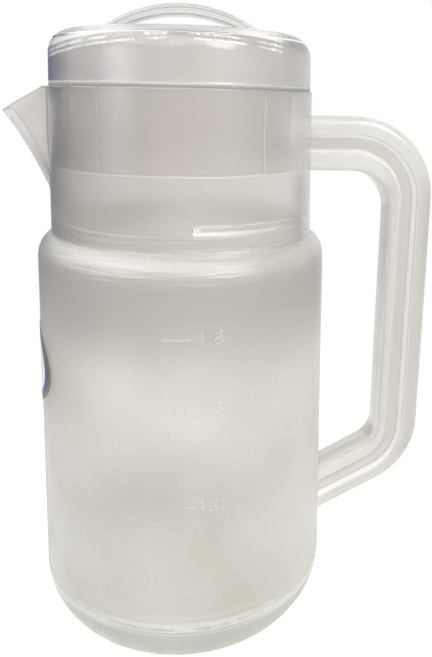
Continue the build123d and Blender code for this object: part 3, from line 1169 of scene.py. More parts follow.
@dataclass
class Handle:
    """The side handle: a grooved section carried between its outer and its inner outline."""

    sizes: JugSizes
    width: float = 18.0
    edge: float = 3.2
    nominal: float = 20.0
    bar_top: float = 238.4
    bar_bottom: float = 214.8
    grip_inside: float = 93.1
    grip_outside: float = 112.4
    low_grip_inside: float = 94.0
    low_grip_outside: float = 114.3
    strut_angle: float = 28.2
    strut_rise: float = 46.3
    strut_thickness: float = 20.4
    outer_bends: tuple[float, float] = (36.5, 35.0)
    inner_bends: tuple[float, float] = (18.5, 13.0)
    groove_half: float = 4.4
    groove_floor_half: float = 2.2
    groove_depth: float = 3.4
    groove_roundings: tuple[float, float] = (0.6, 0.5)
    groove_rim: float = 1.0
    spacing: float = 0.8
    root_rings: tuple[float, float] = (0.7, 0.35)
    outer_wall_glint: float = 1.0
    inner_wall_glint: float = 0.6
    inner_side_glint: float = 0.9
    root_glint: float = 1.0
    floor_shade: float = 0.7
    flange_shade: float = 0.8
    groove_lean: float = 2.2
    wall_easing: float = 0.25
    floor_easing: float = 1 / 3
    inner_side_reach: tuple[float, float] = (1.5, 0.5)
    steps: tuple[int, ...] = (14, 30, 34, 30, 16)
    fitting_rounds: int = 12

    def strut_line(self, reach: float) -> float:
        """Height of the strut's lower edge at a reach from the axis."""
        return self.strut_rise + (reach - self.sizes.barrel_radius) * np.tan(np.radians(self.strut_angle))

    def stations(self, outer: bool) -> Array:
        """Points of one outline as runs and arcs of fixed counts, so that both outlines pair up.

        Args:
            outer: Whether the outer outline is meant.

        Returns:
            Points (x, z) from the neck round the grip to the barrel.
        """
        lift = 0.0 if outer else self.strut_thickness / np.cos(np.radians(self.strut_angle))
        top = self.bar_top if outer else self.bar_bottom
        high = self.grip_outside if outer else self.grip_inside
        low = self.low_grip_outside if outer else self.low_grip_inside
        root = self.sizes.neck_radius
        corners = [np.array(point, float) for point in (
            (root, top), (high, top), (low, self.strut_line(low) + lift),
            (self.sizes.barrel_radius, self.strut_line(self.sizes.barrel_radius) + lift))]
        bends = self.outer_bends if outer else self.inner_bends
        bar, bend, grip, low_bend, strut = self.steps
        first = rounded_corner(*corners[:3], bends[0], bend)
        second = rounded_corner(*corners[1:], bends[1], low_bend)
        runs = [(corners[0], first[0], bar), (first[-1], second[0], grip), (second[-1], corners[3], strut)]
        lines = [start + (end - start) * np.linspace(0, 1, count)[:, None] for start, end, count in runs]
        return np.concatenate([lines[0][:-1], first, lines[1][1:-1], second, lines[2][1:]])

    def section(self) -> Array:
        """Closed outline of the section, at the nominal thickness."""
        return grooved_section(self.nominal / 2, self.width / 2, (self.groove_half, self.groove_floor_half),
                               self.groove_depth, (self.edge, *self.groove_roundings), self.spacing)

    def glint(self, section: Array) -> Array:
        """Shares of white and of shade at each station and each point of its section.

        Painted highlights: the groove's outer wall gathers light everywhere, its inner wall where the bar
        runs level, and the inner side where it stands upright. Painted shade: the groove's floor is darker,
        and so is the upright outer flange.

        Args:
            section: Points as (along, across).

        Returns:
            The shares, between -1 and 1.
        """
        level = self.level()
        along, across = section[None, :, 0], np.abs(section[None, :, 1])
        depth = (across - self.width / 2 + self.groove_depth) / self.groove_depth
        in_groove = np.abs(along) < self.groove_half + self.groove_rim
        wall = eased(depth, 0, self.wall_easing) * eased(depth, 1, 1 - self.wall_easing) * in_groove
        white = np.where(along > 0, self.outer_wall_glint, self.inner_wall_glint * level) * wall
        floor = self.floor_shade * eased(depth, self.floor_easing, 0)
        flange = eased(along, self.groove_half, self.groove_half + self.groove_rim)
        flange = self.flange_shade * (1 - level) * flange
        inner = eased(along + self.nominal / 2, *self.inner_side_reach)
        inner = self.inner_side_glint * (1 - level) * inner
        return white + inner - floor - flange

    def level(self) -> Array:
        """How level the bar runs at each station: the height of its span by the span's length."""
        span = self.stations(True) - self.stations(False)
        return np.abs(span[:, 1:]) / np.linalg.norm(span, axis=1)[:, None]

    def stretched(self, thickness: Array, along: Array) -> Array:
        """Stretches the section to a thickness. The groove keeps its size, and leans inwards on the grip.

        Args:
            thickness: The handle's thickness at each station.
            along: The section's reach along it, at the nominal thickness.

        Returns:
            The reach at each station.
        """
        kept = self.groove_half + self.groove_rim
        half = thickness / 2
        scale = (half - kept) / (self.nominal / 2 - kept)
        far = np.abs(along)
        reach = np.where(far > kept, kept + (far - kept) * scale, far)
        lean = self.groove_lean * (1 - self.level()) * np.clip((half - reach) / (half - kept), 0, 1)
        return np.sign(along) * reach - lean

    def placed(self, section: Array) -> Array:
        """Carries a section along the stations, and slides its two straight ends onto the jug.

        A point is the middle of its station plus its share of the way from the inner to the outer outline.
        The ends move along their run until x^2 + y^2 = (outside radius + gap)^2 at their height.

        Args:
            section: Points as (along, across).

        Returns:
            The grid of points.
        """
        outer, inner = self.stations(True), self.stations(False)
        span = outer - inner
        thickness = np.linalg.norm(span, axis=1)[:, None]
        along = self.stretched(thickness, section[None, :, 0])
        place = (outer + inner)[:, None] / 2 + along[..., None] * (span / thickness)[:, None]
        x, z = place[..., 0], place[..., 1]
        y = np.broadcast_to(section[None, :, 1], x.shape)
        bar, strut = self.steps[0], self.steps[-1]
        gap = self.sizes.glue_gap
        root = np.sqrt((self.sizes.neck_outside(z[bar - 1]) + gap) ** 2 - y[0] ** 2)
        share = np.linspace(0, 1, bar)[:, None]
        x[:bar] = root + (x[bar - 1] - root) * share
        z[:bar] = z[bar - 1]
        tangent = np.tan(np.radians(self.strut_angle))
        start_x, start_z = x[-strut].copy(), z[-strut].copy()
        end_z = z[-1].copy()
        for _ in range(self.fitting_rounds):
            end_x = np.sqrt((self.sizes.barrel_outside(end_z) + gap) ** 2 - y[0] ** 2)
            end_z = start_z + (end_x - start_x) * tangent
        share = np.linspace(0, 1, strut)[:, None]
        x[-strut:] = start_x + (end_x - start_x) * share
        z[-strut:] = start_z + (end_z - start_z) * share
        return np.stack([x, y, z], axis=-1)

    def bar(self) -> Skin:
        """The handle's skin: the carried section, and ends that follow the jug in three rings.

        Returns:
            The closed skin.
        """
        section = self.section()
        grid = self.placed(section)
        rings = [self.placed(section * share) for share in self.root_rings]
        centre = self.placed(section[:1] * 0)
        start = [ring[0] for ring in rings[::-1]]
        end = [ring[-1] for ring in rings]
        grid = np.concatenate([np.stack(start), grid, np.stack(end)])
        glint = self.glint(section)
        # Painted light: the end rings against the jug are drawn white.
        root = np.full((len(rings), glint.shape[1]), self.root_glint)
        glint = np.concatenate([root, glint, root])
        return wrapped_skin(grid, poles=np.stack([centre[0, 0], centre[-1, 0]]), glint=glint)


@dataclass
class Label:
    """The oval label under the spout: a thin film that follows the barrel."""

    sizes: JugSizes
    middle_height: float = 129.5
    half_width: float = 32.0
    half_height: float = 19.0
    thickness: float = 0.2
    columns: int = 120
    rings: int = 16
    first_ring: float = 0.06

    def film(self) -> Skin:
        """The film's skin in polar rings: y = w s cos t, z = h s sin t, x on the barrel at that y and z.

        Returns:
            The closed skin.
        """
        turn = even_turn(self.columns)[None]
        share = np.linspace(self.first_ring, 1, self.rings)[:, None]
        share = np.concatenate([share, share[::-1]])
        lift = np.repeat([self.thickness, 0.0], self.rings)[:, None]
        y = self.half_width * share * np.cos(turn)
        z = self.middle_height + self.half_height * share * np.sin(turn)
        radius = self.sizes.barrel_outside(z) + self.sizes.glue_gap + lift
        grid = np.stack([-np.sqrt(radius ** 2 - y ** 2), y, z], axis=-1)
        middle = self.sizes.barrel_outside(self.middle_height) + self.sizes.glue_gap
        poles = [(-middle - self.thickness, 0, self.middle_height), (-middle, 0, self.middle_height)]
        return wrapped_skin(grid, poles=np.array(poles))


@dataclass(frozen=True)
class Mark:
    """One litre mark: its number, its dash's height, the angles of its dash and digits, and its relief."""

    number: str
    height: float
    dash_from: float
    dash_to: float
    digits_from: float
    digits_to: float
    relief: float


@dataclass
class LitreMarks:
    """Raised litre numbers and dashes on the barrel's front."""

    sizes: JugSizes
    dash_height: float = 0.9
    dash_stations: int = 25
    dash_columns: int = 16
    dash_crowding: float = 0.49
    digit_height: float = 5.4
    digit_drop: float = 0.4
    digit_thinning: float = 0.008
    seat: float = 0.02
    marks: tuple[Mark, ...] = (
        Mark("1.8", 156.3, -97.5, -87.0, -84.1, -76.3, 0.18),
        Mark("1.5", 128.0, -90.1, -87.5, -83.8, -76.5, 0.06),
        Mark("1.0", 86.0, -90.4, -86.6, -84.5, -76.2, 0.07),
    )

    def wrapped(self, along: Array, height: Array, lift: Array) -> Array:
        """Lays points on the barrel: along is the azimuth, lift the distance from its outside."""
        return turned(self.sizes.barrel_outside(height) + lift, height, along)

    def dash(self, mark: Mark) -> Skin:
        """A low bar with round ends: rings of an ellipse, whose breadth follows a capsule.

        Args:
            mark: The mark it belongs to.

        Returns:
            The closed skin.
        """
        radius = float(self.sizes.barrel_outside(mark.height))
        half = radius * np.radians(mark.dash_to - mark.dash_from) / 2
        middle = np.radians(mark.dash_from + mark.dash_to) / 2
        round_end = self.dash_height / 2
        share = np.linspace(-1, 1, self.dash_stations)
        reach = half * np.sin(self.dash_crowding * np.pi * share)[:, None]
        past = np.clip(np.abs(reach) - half + round_end, 0, None) / round_end
        breadth = np.sqrt(1 - past ** 2)
        turn = even_turn(self.dash_columns)[None]
        height = mark.height + round_end * breadth * np.cos(turn)
        lift = self.seat + mark.relief * breadth * (0.5 + 0.5 * np.sin(turn))
        return wrapped_skin(self.wrapped(reach / radius + middle, height, lift))

    def digits(self, mark: Mark) -> Skin:
        """The number's solid letters, laid flat by Blender and then wrapped round the barrel.

        Args:
            mark: The mark they belong to.

        Returns:
            The closed skins, in one.
        """
        curve = bpy.data.curves.new("litre_number", "FONT")
        curve.body = mark.number
        curve.size = 1.0
        curve.extrude = 0.5
        curve.offset = -self.digit_thinning
        carrier = place_object("litre_number", curve)
        mesh = bpy.data.meshes.new_from_object(carrier)
        points = np.zeros(len(mesh.vertices) * 3)
        mesh.vertices.foreach_get("co", points)
        points = points.reshape(-1, 3)
        faces = [list(face.vertices) for face in mesh.polygons]
        bpy.data.objects.remove(carrier)
        bpy.data.curves.remove(curve)
        low, high = points.min(axis=0), points.max(axis=0)
        share = (points - low) / (high - low)
        along = np.radians(mark.digits_from + (mark.digits_to - mark.digits_from) * share[:, 0])
        height = mark.height + self.digit_height * (share[:, 1] - self.digit_drop)
        lift = self.seat + mark.relief * share[:, 2]
        quads, triangles = (np.array([face for face in faces if len(face) == size], int).reshape(-1, size)
                            for size in (4, 3))
        return Skin(self.wrapped(along, height, lift), quads, triangles).outward()

    def relief_skin(self) -> Skin:
        """All dashes and numbers in one skin."""
        return joined([part for mark in self.marks for part in (self.dash(mark), self.digits(mark))])


@dataclass
class Lid:
    """The cap, the skirt with its window and strainer, the arched grip and the gasket under the cap."""

    sizes: JugSizes
    cap_radius: float = 55.4
    cap_draft: float = 0.7
    cap_shoulder: float = 9.4
    cap_roundings: tuple[float, ...] = (0.5, 0.5, 0.5, 0.0, 0.4, 0.4, 0.5)
    cap_steps: int = 14
    spacing: float = 3.0
    pole_ring: float = 1.0
    rim_rib_inside: float = 49.6
    rim_rib_wall: float = 1.6
    rim_rib_drop: float = 2.2
    gasket_width: float = 2.2
    gasket_rounding: float = 0.45
    skirt_wall: float = 1.5
    skirt_foot: float = 0.35
    skirt_rows: tuple[int, int, int] = (6, 8, 9)
    foot_steps: int = 5
    skirt_bottom: float = 215.8
    window_bottom: float = 229.0
    window_height: float = 17.8
    window_half_angle: float = 38.0
    slot_width: float = 2.6
    slots: int = 11
    slot_pitch: float = 7.2
    rib_angles: tuple[float, ...] = (54.6, 125.4, -54.6, -125.4)
    rib_half: float = 0.35
    rib_height: float = 0.2
    rib_glints: tuple[float, float] = (0.55, 0.42)
    rib_columns: int = 7
    skirt_step: float = 1.6
    least_step: float = 0.03
    arch_half_span: float = 35.4
    arch_rise: float = 12.1
    arch_thickness: float = 4.4
    arch_foot: float = 6.6
    arch_width: float = 12.0
    arch_edge: float = 1.2
    arch_stations: int = 72
    arch_spacing: float = 1.2
    groove: tuple[float, float] = (0.5, 0.3)
    groove_depth: float = 0.9

    def cap(self) -> Skin:
        """The cap's skin: from the ceiling's middle over a low rib, down the wall, up outside and over.

        Returns:
            The closed skin.
        """
        s = self.sizes
        inside = s.skirt_radius + s.glue_gap
        rib = self.rim_rib_inside + self.rim_rib_wall
        rib_low = s.ceiling_height - self.rim_rib_drop
        corners = [(self.pole_ring, s.ceiling_height), (self.rim_rib_inside, s.ceiling_height),
                   (self.rim_rib_inside, rib_low), (rib, rib_low), (rib, s.ceiling_height),
                   (inside, s.ceiling_height), (inside, s.cap_bottom), (self.cap_radius, s.cap_bottom),
                   (self.cap_radius - self.cap_draft, s.cap_top), (self.pole_ring, s.cap_top)]
        rounded = [rounded_corner(*corners[i:i + 3], radius, self.cap_steps)
                   for i, radius in enumerate((*self.cap_roundings, self.cap_shoulder))]
        outline = np.concatenate([corners[:1], *rounded, corners[-1:]])
        return lathe(spread(outline, self.spacing, closed=False), ring=False)

    def gasket(self) -> Skin:
        """The gasket's skin: a ring with rounded edges, a film's gap clear of the rim and the cap.

        Returns:
            The closed skin.
        """
        s = self.sizes
        outside = self.cap_radius
        inside = outside - self.gasket_width
        low, high = s.rim_height + FILM_GAP, s.cap_bottom - FILM_GAP
        corners = [(inside, low), (outside, low), (outside, high), (inside, high)]
        return lathe(rounded_outline(corners, [self.gasket_rounding] * 4))

    def skirt_azimuths(self) -> Array:
        """Angles round the axis, with one on each edge of the window, the slots and the ribs.

        Returns:
            The angles, rising.
        """
        half_slot = np.degrees(self.slot_width / 2 / self.sizes.skirt_radius)
        centres = 180 + self.slot_pitch * (np.arange(self.slots) - (self.slots - 1) / 2)
        half_rib = np.degrees(self.rib_half / self.sizes.skirt_radius)
        ribs = np.array(self.rib_angles)[:, None] + half_rib * np.linspace(-1, 1, self.rib_columns)
        edges = [centres - half_slot, centres + half_slot, [self.window_half_angle, -self.window_half_angle],
                 ribs.ravel(), np.arange(0, 360, self.skirt_step)]
        angles = np.unique(np.round(np.concatenate([np.asarray(edge, float) for edge in edges]) % 360, 4))
        return np.radians(angles[np.concatenate([[True], np.diff(angles) > self.least_step])])

    def skirt_open(self, azimuth: Array, height: Array) -> Array:
        """Whether the skirt is cut away at an azimuth and height: in the window, and in each slot.

        Args:
            azimuth: Angles round the axis.
            height: Heights, of a shape that fits them.

        Returns:
            True where it is open.
        """
        degrees = np.degrees(azimuth)
        from_window = np.degrees(np.abs(half_turned(azimuth)))
        pitch = self.slot_pitch
        from_middle = degrees - 180 + pitch * (self.slots - 1) / 2
        nearest = np.clip(np.round(from_middle / pitch), 0, self.slots - 1)
        half_slot = np.degrees(self.slot_width / 2 / self.sizes.skirt_radius)
        slot = np.abs(from_middle - nearest * pitch) < half_slot
        level = (height > self.window_bottom) & (height < self.window_bottom + self.window_height)
        return level & (slot | (from_window < self.window_half_angle))

    def skirt(self) -> Skin:
        """The skirt's skin: outer and inner cells where it isn't open, and a side wherever that changes.

        Returns:
            The closed skin.
        """
        s = self.sizes
        azimuth = self.skirt_azimuths()
        edge = self.skirt_wall * self.skirt_foot
        turn = np.linspace(0, np.pi / 2, self.foot_steps)
        top = s.ceiling_height - FILM_GAP
        window_top = self.window_bottom + self.window_height
        foot = self.skirt_bottom + edge * (1 - np.cos(turn))
        levels = (foot[-1], self.window_bottom, window_top, top)
        body = [np.linspace(*levels[i:i + 2], rows)[1:] for i, rows in enumerate(self.skirt_rows)]
        height = np.concatenate([foot, *body])[:, None]
        inset = edge - np.sqrt(np.clip(edge ** 2 - (height - self.skirt_bottom - edge) ** 2, 0, None))
        inset = np.where(height < self.skirt_bottom + edge, inset, 0)
        turns = half_turned(azimuth[:, None] - np.radians(self.rib_angles))
        from_rib = np.abs(turns).min(axis=1) * s.skirt_radius
        rib = self.rib_height * smooth_step((self.rib_half - from_rib) / (self.rib_half / 2))
        rib = rib[None] * (height < s.rim_height)
        outer = turned(s.skirt_radius - inset + rib, height, azimuth[None])
        inner = turned(s.skirt_radius - self.skirt_wall + inset + 0 * rib, height, azimuth[None])
        rows, columns = outer.shape[:2]
        index = np.arange(rows * columns).reshape(rows, columns)
        behind = index + rows * columns
        step = np.diff(np.concatenate([azimuth, azimuth[:1] + 2 * np.pi]))
        middle_height = (height[1:] + height[:-1]) / 2
        solid = ~self.skirt_open((azimuth + step / 2)[None] % (2 * np.pi), middle_height)
        ahead = np.roll(index, -1, axis=1)
        ahead_behind = np.roll(behind, -1, axis=1)
        out = np.stack([index[:-1], ahead[:-1], ahead[1:], index[1:]], axis=-1)[solid]
        back = np.stack([behind[:-1], behind[1:], ahead_behind[1:], ahead_behind[:-1]], axis=-1)[solid]
        before = np.roll(solid, 1, axis=1)
        sides = np.stack([index[:-1], index[1:], behind[1:], behind[:-1]], axis=-1)
        starts, stops = sides[solid & ~before], sides[~solid & before][:, ::-1]
        padded = np.concatenate([np.zeros((1, columns), bool), solid, np.zeros((1, columns), bool)])
        level = np.stack([index, behind, ahead_behind, ahead], axis=-1)
        floors = level[padded[1:] & ~padded[:-1]]
        roofs = level[~padded[1:] & padded[:-1]][:, ::-1]
        quads = np.concatenate([out, back, starts, stops, floors, roofs])
        used, numbers = np.unique(quads, return_inverse=True)
        points = np.concatenate([outer.reshape(-1, 3), inner.reshape(-1, 3)])[used]
        shine = np.where(np.cos(azimuth) > 0, *self.rib_glints) * rib / self.rib_height
        glint = np.concatenate([shine.ravel(), 0 * rib.ravel()])[used]
        return Skin(points, numbers.reshape(-1, 4), np.zeros((0, 3), int), glint).outward()

    def arch(self) -> Skin:
        """The grip's skin: a grooved section carried between the outer and the inner arc.

        An arc over a half span w with a rise h has the radius (w^2 + h^2) / (2 h).

        Returns:
            The closed skin.
        """
        share = np.linspace(0, 1, self.arch_stations)[:, None]
        level = self.sizes.cap_top + FILM_GAP
        arcs = []
        for span_half, rise in ((self.arch_half_span, self.arch_rise),
                                (self.arch_half_span - self.arch_foot, self.arch_rise - self.arch_thickness)):
            radius = (span_half ** 2 + rise ** 2) / (2 * rise)
            turn = (2 * share - 1) * np.arcsin(span_half / radius)
            height = level + (radius * np.cos(turn) - radius + rise) * (1 - FILM_GAP / rise)
            arcs.append(np.concatenate([radius * np.sin(turn), height], axis=1))
        outer, inner = arcs
        thickness = np.linalg.norm(outer - inner, axis=1)[:, None]
        section = grooved_section(self.arch_thickness / 2, self.arch_width / 2, self.groove,
                                  self.groove_depth, (self.arch_edge, 0, 0), self.arch_spacing)
        along = section[None, :, 0] * thickness / self.arch_thickness
        place = (outer + inner)[:, None] / 2 + along[..., None] * ((outer - inner) / thickness)[:, None]
        across = np.broadcast_to(section[None, :, 1], along.shape)
        return wrapped_skin(np.stack([place[..., 0], across, place[..., 1]], axis=-1))


# Studio


@dataclass(frozen=True)
class Card:
    """A card beside the jug, seen by mirrors and glass only.

    On the floor it eases in between two values of x / distance and between two distances. In the world it
    eases in between two angles from straight behind the jug, in radians, with the handle's side positive.
    """

    colour: str
    sides: tuple[float, float]
    distances: tuple[float, float] = (0.0, 0.0)


@dataclass(frozen=True)
class SoftBox:
    """A soft box that faces the jug's middle: its place, the two sides of its face, its watts and colour.

    It may light nothing and only be mirrored, or light the jug without being mirrored.
    """

    name: str
    place: tuple[float, float, float]
    face: tuple[float, float]
    watts: float
    colour: str
    lights: bool = True
    mirrored: bool = True

    def hang(self, aim_height: float) -> None:
        """Hangs it so that it faces a height on the jug's axis.

        Args:
            aim_height: That height.
        """
        data = bpy.data.lights.new(self.name, "AREA")
        data.shape = "RECTANGLE"
        data.size, data.size_y = (side * MM for side in self.face)
        data.energy = self.watts
        data.color = linear(self.colour)[:3]
        lamp = place_object(self.name, data)
        lamp.visible_diffuse = self.lights
        lamp.visible_transmission = self.lights
        lamp.visible_glossy = self.mirrored
        lamp.visible_camera = False
        back = np.array(self.place, float) - (0, 0, aim_height)
        back /= np.linalg.norm(back)
        side = np.cross([0, 0, 1.0], back)
        side /= np.linalg.norm(side)
        stand(lamp, [side, np.cross(back, side), back], self.place)


@dataclass
class Studio:
    """The floor, the surroundings, the lamps and the camera, in millimetres and radians."""

    camera_place: tuple[float, float, float] = (0.0, -317.596, 245.69)
    pitch: float = 0.2507332
    yaw: float = 0.1135092
    roll: float = -0.020776
    focal_pixels: float = 705.278
    centre_pixels: tuple[float, float] = (261.315, 278.251)
    clip_metres: tuple[float, float] = (0.01, 100.0)
    floor_half: float = 30000.0
    floor_drop: float = 0.02
    floor_colour: str = "FCFCFB"
    floor_glow: float = 0.31
    paper_scale: float = 900.0
    paper_strength: float = 0.2
    paper_depth: float = 0.1
    white: tuple[float, float] = (240.0, 460.0)
    world_light: float = 0.6
    aim_height: float = 150.0
    card_rise: tuple[float, float] = (0.3, 0.12)
    world_cards: tuple[Card, ...] = (Card("05056E", (-0.12, -0.2)), Card("FFFFFF", (-1.0, -1.35)))
    floor_cards: tuple[Card, ...] = (
        Card("E2E2E0", (-0.05, -0.4), (250.0, 500.0)),
        Card("F8F8F7", (0.05, 0.4), (250.0, 500.0)),
        Card("1C1D2A", (-0.05, -0.36), (460.0, 720.0)),
        Card("FFFFFF", (2.0, 1.0), (1000.0, 1400.0)),
        Card("E2E0DE", (0.3, 0.04), (1000.0, 1400.0)),
        Card("D1D1D4", (-0.08, -0.33), (1000.0, 1400.0)),
        Card("747479", (-0.24, -0.5), (1000.0, 1400.0)),
    )
    soft_boxes: tuple[SoftBox, ...] = (
        SoftBox("key_box", (900, -1300, 1200), (700, 900), 15, "FFFEFB"),
        SoftBox("fill_box", (-1300, -1000, 700), (600, 900), 5, "F7F9FF", mirrored=False),
        SoftBox("sky_box", (-700, -500, 1250), (3300, 1200), 32, "FFFFFF", lights=False),
    )

    def camera(self) -> None:
        """Stands the camera where the photograph was taken from, with its lens and shift."""
        data = bpy.data.cameras.new("photograph")
        width, height = FRAME_PIXELS
        data.sensor_width = SENSOR_MM
        data.lens = self.focal_pixels * SENSOR_MM / height
        data.shift_x = (width / 2 - self.centre_pixels[0]) / height
        data.shift_y = (self.centre_pixels[1] - height / 2) / height
        data.clip_start, data.clip_end = self.clip_metres
        forward = np.array([np.sin(self.yaw) * np.cos(self.pitch), np.cos(self.yaw) * np.cos(self.pitch),
                            -np.sin(self.pitch)])
        level = np.array([np.cos(self.yaw), -np.sin(self.yaw), 0.0])
        down = np.cross(forward, level)
        right = np.cos(self.roll) * level + np.sin(self.roll) * down
        lower = -np.sin(self.roll) * level + np.cos(self.roll) * down
        camera = place_object("photograph", data)
        stand(camera, [right, -lower, -forward], self.camera_place)
        bpy.context.scene.camera = camera

    def paper(self) -> bpy.types.Material:
        """Makes the floor's matt white paper. Cameras, mirrors and glass see it turn pure white far away.

        They also see it glow a little near the jug, and mirrors and glass see the cards on it.

        Returns:
            The material.
        """
        material = bpy.data.materials.new("matt_paper_floor")
        add = node_adder(material)
        place = add("TexCoord")["Object"]
        away = add("VectorMath", {0: place}, operation="LENGTH")["Value"]
        start, end = (distance * MM for distance in self.white)
        share = add("MapRange", {"Value": away, **span(start, end)}, **EASED)[0]
        grain = add("TexNoise", {"Vector": place, "Scale": self.paper_scale, "Detail": 2.0})["Fac"]
        bump = add("Bump", {
            "Height": grain, "Strength": self.paper_strength, "Distance": self.paper_depth * MM})[0]
        paper = add("BsdfDiffuse", {"Color": linear(self.floor_colour), "Normal": bump})[0]
        x = add("SeparateXYZ", {0: place})["X"]
        side = add("Math", {0: x, 1: away}, operation="DIVIDE")[0]
        camera = add("LightPath")["Is Camera Ray"]
        cards = self.carded(add, self.floor_cards, side, away=away)
        seen = add("Mix", {"Factor": camera, 6: cards, 7: linear("FFFFFF")}, **COLOURS)[2]
        white = add("Emission", {"Strength": 1.0, "Color": seen})[0]
        rays = self.seeing_rays(add)
        far = add("Math", {0: rays, 1: share}, operation="MULTIPLY")[0]
        glow = add("Math", {0: rays, 1: self.floor_glow}, operation="MULTIPLY")[0]
        lift = add("Emission", {"Strength": glow})[0]
        near = add("AddShader", {0: paper, 1: lift})[0]
        both = add("MixShader", {0: far, 1: near, 2: white})[0]
        add("OutputMaterial", {"Surface": both})
        return material

    def floor(self) -> None:
        """Lays the floor just under the jug."""
        half = self.floor_half * MM
        mesh = bpy.data.meshes.new("floor")
        corners = [(-half, -half, 0), (half, -half, 0), (half, half, 0), (-half, half, 0)]
        mesh.from_pydata(corners, [], [(0, 1, 2, 3)])
        mesh.materials.append(self.paper())
        floor = place_object("floor", mesh)
        floor.location.z = -self.floor_drop * MM

    def seeing_rays(self, add: Adder) -> Socket:
        """Adds 1 for rays of the camera, of mirrors and of glass, and 0 for all others.

        Args:
            add: What adds the nodes.

        Returns:
            The 1 or 0.
        """
        rays = add("LightPath")
        either = add("Math", {0: rays["Is Camera Ray"], 1: rays["Is Glossy Ray"]}, operation="MAXIMUM")[0]
        return add("Math", {0: either, 1: rays["Is Transmission Ray"]}, operation="MAXIMUM")[0]

    def carded(self, add: Adder, cards: tuple[Card, ...], side: Socket,
               away: Socket | None = None, rise: Socket | None = None) -> Socket:
        """Adds white with cards laid over it, each over those before it.

        Args:
            add: What adds the nodes.
            cards: The cards.
            side: Where a point lies for the cards' sides: x / distance on the floor, an angle in the world.
            away: The distance from the jug, on the floor.
            rise: The z of the direction, in the world, where the cards end in height.

        Returns:
            The colour.
        """
        colour = linear("FFFFFF")
        for card in cards:
            share = add("MapRange", {"Value": side, **span(*card.sides)}, **EASED)[0]
            if away is not None:
                near, far = (distance * MM for distance in card.distances)
                share = add("MapRange", {"Value": away, **span(near, far, high=share)}, **EASED)[0]
            if rise is not None:
                share = add("MapRange", {"Value": rise, **span(*self.card_rise, high=share)}, **EASED)[0]
            colour = add("Mix", {"Factor": share, 6: colour, 7: linear(card.colour)}, **COLOURS)[2]
        return colour

    def surroundings(self) -> None:
        """Lights the world evenly, and shows it white to the camera.

        Mirrors and glass see the same white, with a dark blue card on the spout's side that ends where a
        white one begins. They draw the left edges of clear pieces. A card's place is the angle
        atan2(x, y) of the direction.
        """
        world = bpy.data.worlds.new("white_studio")
        bpy.context.scene.world = world
        add = node_adder(world)
        x, y, rise = add("SeparateXYZ", {0: add("TexCoord")["Generated"]})
        turn = add("Math", {0: x, 1: y}, operation="ARCTAN2")[0]
        cards = self.carded(add, self.world_cards, turn, rise=rise)
        seen = add("Background", {"Strength": 1.0, "Color": cards})[0]
        light = add("Background", {"Strength": self.world_light, "Color": linear("FFFFFF")})[0]
        white = add("Background", {"Strength": 1.0, "Color": linear("FFFFFF")})[0]
        both = add("MixShader", {0: self.seeing_rays(add), 1: light, 2: seen})[0]
        camera = add("LightPath")["Is Camera Ray"]
        last = add("MixShader", {0: camera, 1: both, 2: white})[0]
        add("OutputWorld", {"Surface": last})

    def build(self) -> None:
        """Sets up the surroundings, the lamps, the floor and the camera."""
        self.surroundings()
        for box in self.soft_boxes:
            box.hang(self.aim_height)
        self.floor()
        self.camera()


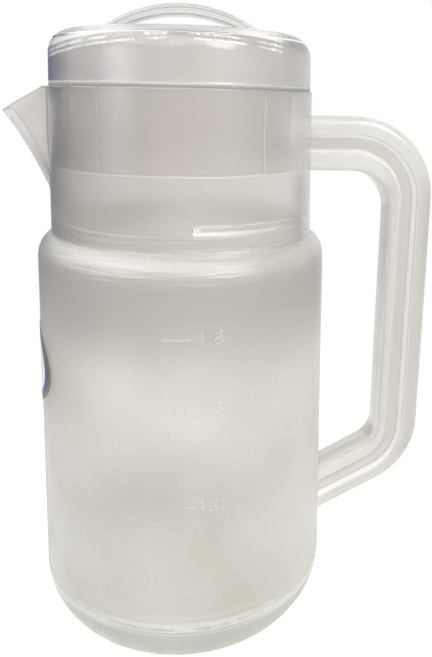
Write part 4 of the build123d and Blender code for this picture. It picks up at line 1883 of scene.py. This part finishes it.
def jug_finishes() -> tuple[Finish, ...]:
    """The jug's finishes. The walls are one plastic from moulds of different polish and thickness.

    Returns:
        The finishes, each with a name of its own.
    """
    return (
        # The barrel's and the base's darker third tints are painted shade.
        MouldedPlastic("blasted_barrel_plastic", "F7F5F3", "E1DED7", Mould.BLASTED, grain=0.6,
                       grain_depth=0.04, painted_shade=PaintedShade("CFCCC8", (135.0, 166.0, 174.0, 186.0)),
                       ripples=Ripples(spacing=1.7, depth=0.8, start=172.0, stretch=0.1),
                       polished=(168.0, 184.0), lines=Lines((30.5, 193.9), half=0.35, white=0.3)),
        MouldedPlastic("satin_base_plastic", "E0DFD9", "D6D6D0", Mould.SOFT, milk=0.35, grain_depth=0.004,
                       painted_shade=PaintedShade("67625E", (12.0, 22.0, 40.0, 50.0), (5.0, 45.0)),
                       lines=Lines((26.4, 28.2, 33.2), half=0.35, white=0.7),
                       sparks=Sparks((29.0,), half=1.4, white=0.6, spacing=4.0)),
        MouldedPlastic("satin_neck_plastic", "F4F1EE", "EEECE9", Mould.SATIN, milk=0.03),
        MouldedPlastic("thin_skirt_plastic", "F5F2EF", "EFEDEB", Mould.SATIN, milk=0.02,
                       lines=Lines((216.2,), half=0.7, white=0.6)),
        MouldedPlastic("satin_cap_plastic", "FDFBFA", "FAF8F7", Mould.SATIN, milk=0.02,
                       ripples=Ripples(spacing=1.1, depth=0.14, start=258.0, stretch=0.5),
                       sparks=Sparks((267.2, 265.4), half=0.6, white=1.0, spacing=0.7),
                       shine_bow=2.0, shine_end=42.0, lines=Lines((269.7,), half=1.4, white=0.6)),
        MouldedPlastic("milky_grip_plastic", "E6E4E2", "DFDDDC", Mould.POLISHED, milk=0.15),
        MouldedPlastic("milky_handle_plastic", "ECEAE6", "E5E3E0", Mould.SATIN, milk=0.45,
                       shade_tint="CFCBC6"),
        MouldedPlastic("raised_mark_plastic", "EEECE8", "E8E6E3", Mould.SATIN, milk=0.25),
        Silicone(),
        PrintedFilm(),
    )


def main() -> None:
    """Builds the jug's pieces in order, then the studio."""
    sizes = JugSizes()
    finishes = {finish.name: finish.build() for finish in jug_finishes()}
    body, neck, handle, label = Body(sizes), Neck(sizes), Handle(sizes), Label(sizes)
    marks, lid = LitreMarks(sizes), Lid(sizes)
    pieces = (
        ("frosted_barrel", body.barrel(), "blasted_barrel_plastic", "jug", "frosted_barrel", ("barrel",)),
        ("clear_base_cup", body.base_cup(), "satin_base_plastic", "jug", "clear_base", ("base_cup",)),
        ("neck_with_beak", neck.collar(), "satin_neck_plastic", "jug", "clear_neck", ("neck_collar",)),
        ("grooved_handle", handle.bar(), "milky_handle_plastic", "jug", "clear_handle", ("side_handle",)),
        ("oval_label", label.film(), "printed_polypropylene_film", "jug", "label_film", ("front_label",)),
        ("litre_marks", marks.relief_skin(), "raised_mark_plastic", "jug", "frosted_barrel", ()),
        ("lid_gasket", lid.gasket(), "translucent_silicone", "gasket", "gasket_silicone", ("rim_gasket",)),
        ("round_cap", lid.cap(), "satin_cap_plastic", "lid", "clear_lid", ("lid_cap",)),
        ("strainer_skirt", lid.skirt(), "thin_skirt_plastic", "lid", "clear_lid", ("lid_skirt",)),
        ("arched_grip", lid.arch(), "milky_grip_plastic", "lid", "clear_lid", ("lid_arch",)),
    )
    for name, skin, finish, rides_on, slot, nodes in pieces:
        make_piece(name, skin, finishes[finish], rides_on, nodes)
    Studio().build()
    bpy.context.scene.view_settings.view_transform = "Standard"


if __name__ == "__main__":
    logging.basicConfig(level=logging.INFO, format="%(name)s: %(message)s")
    main()
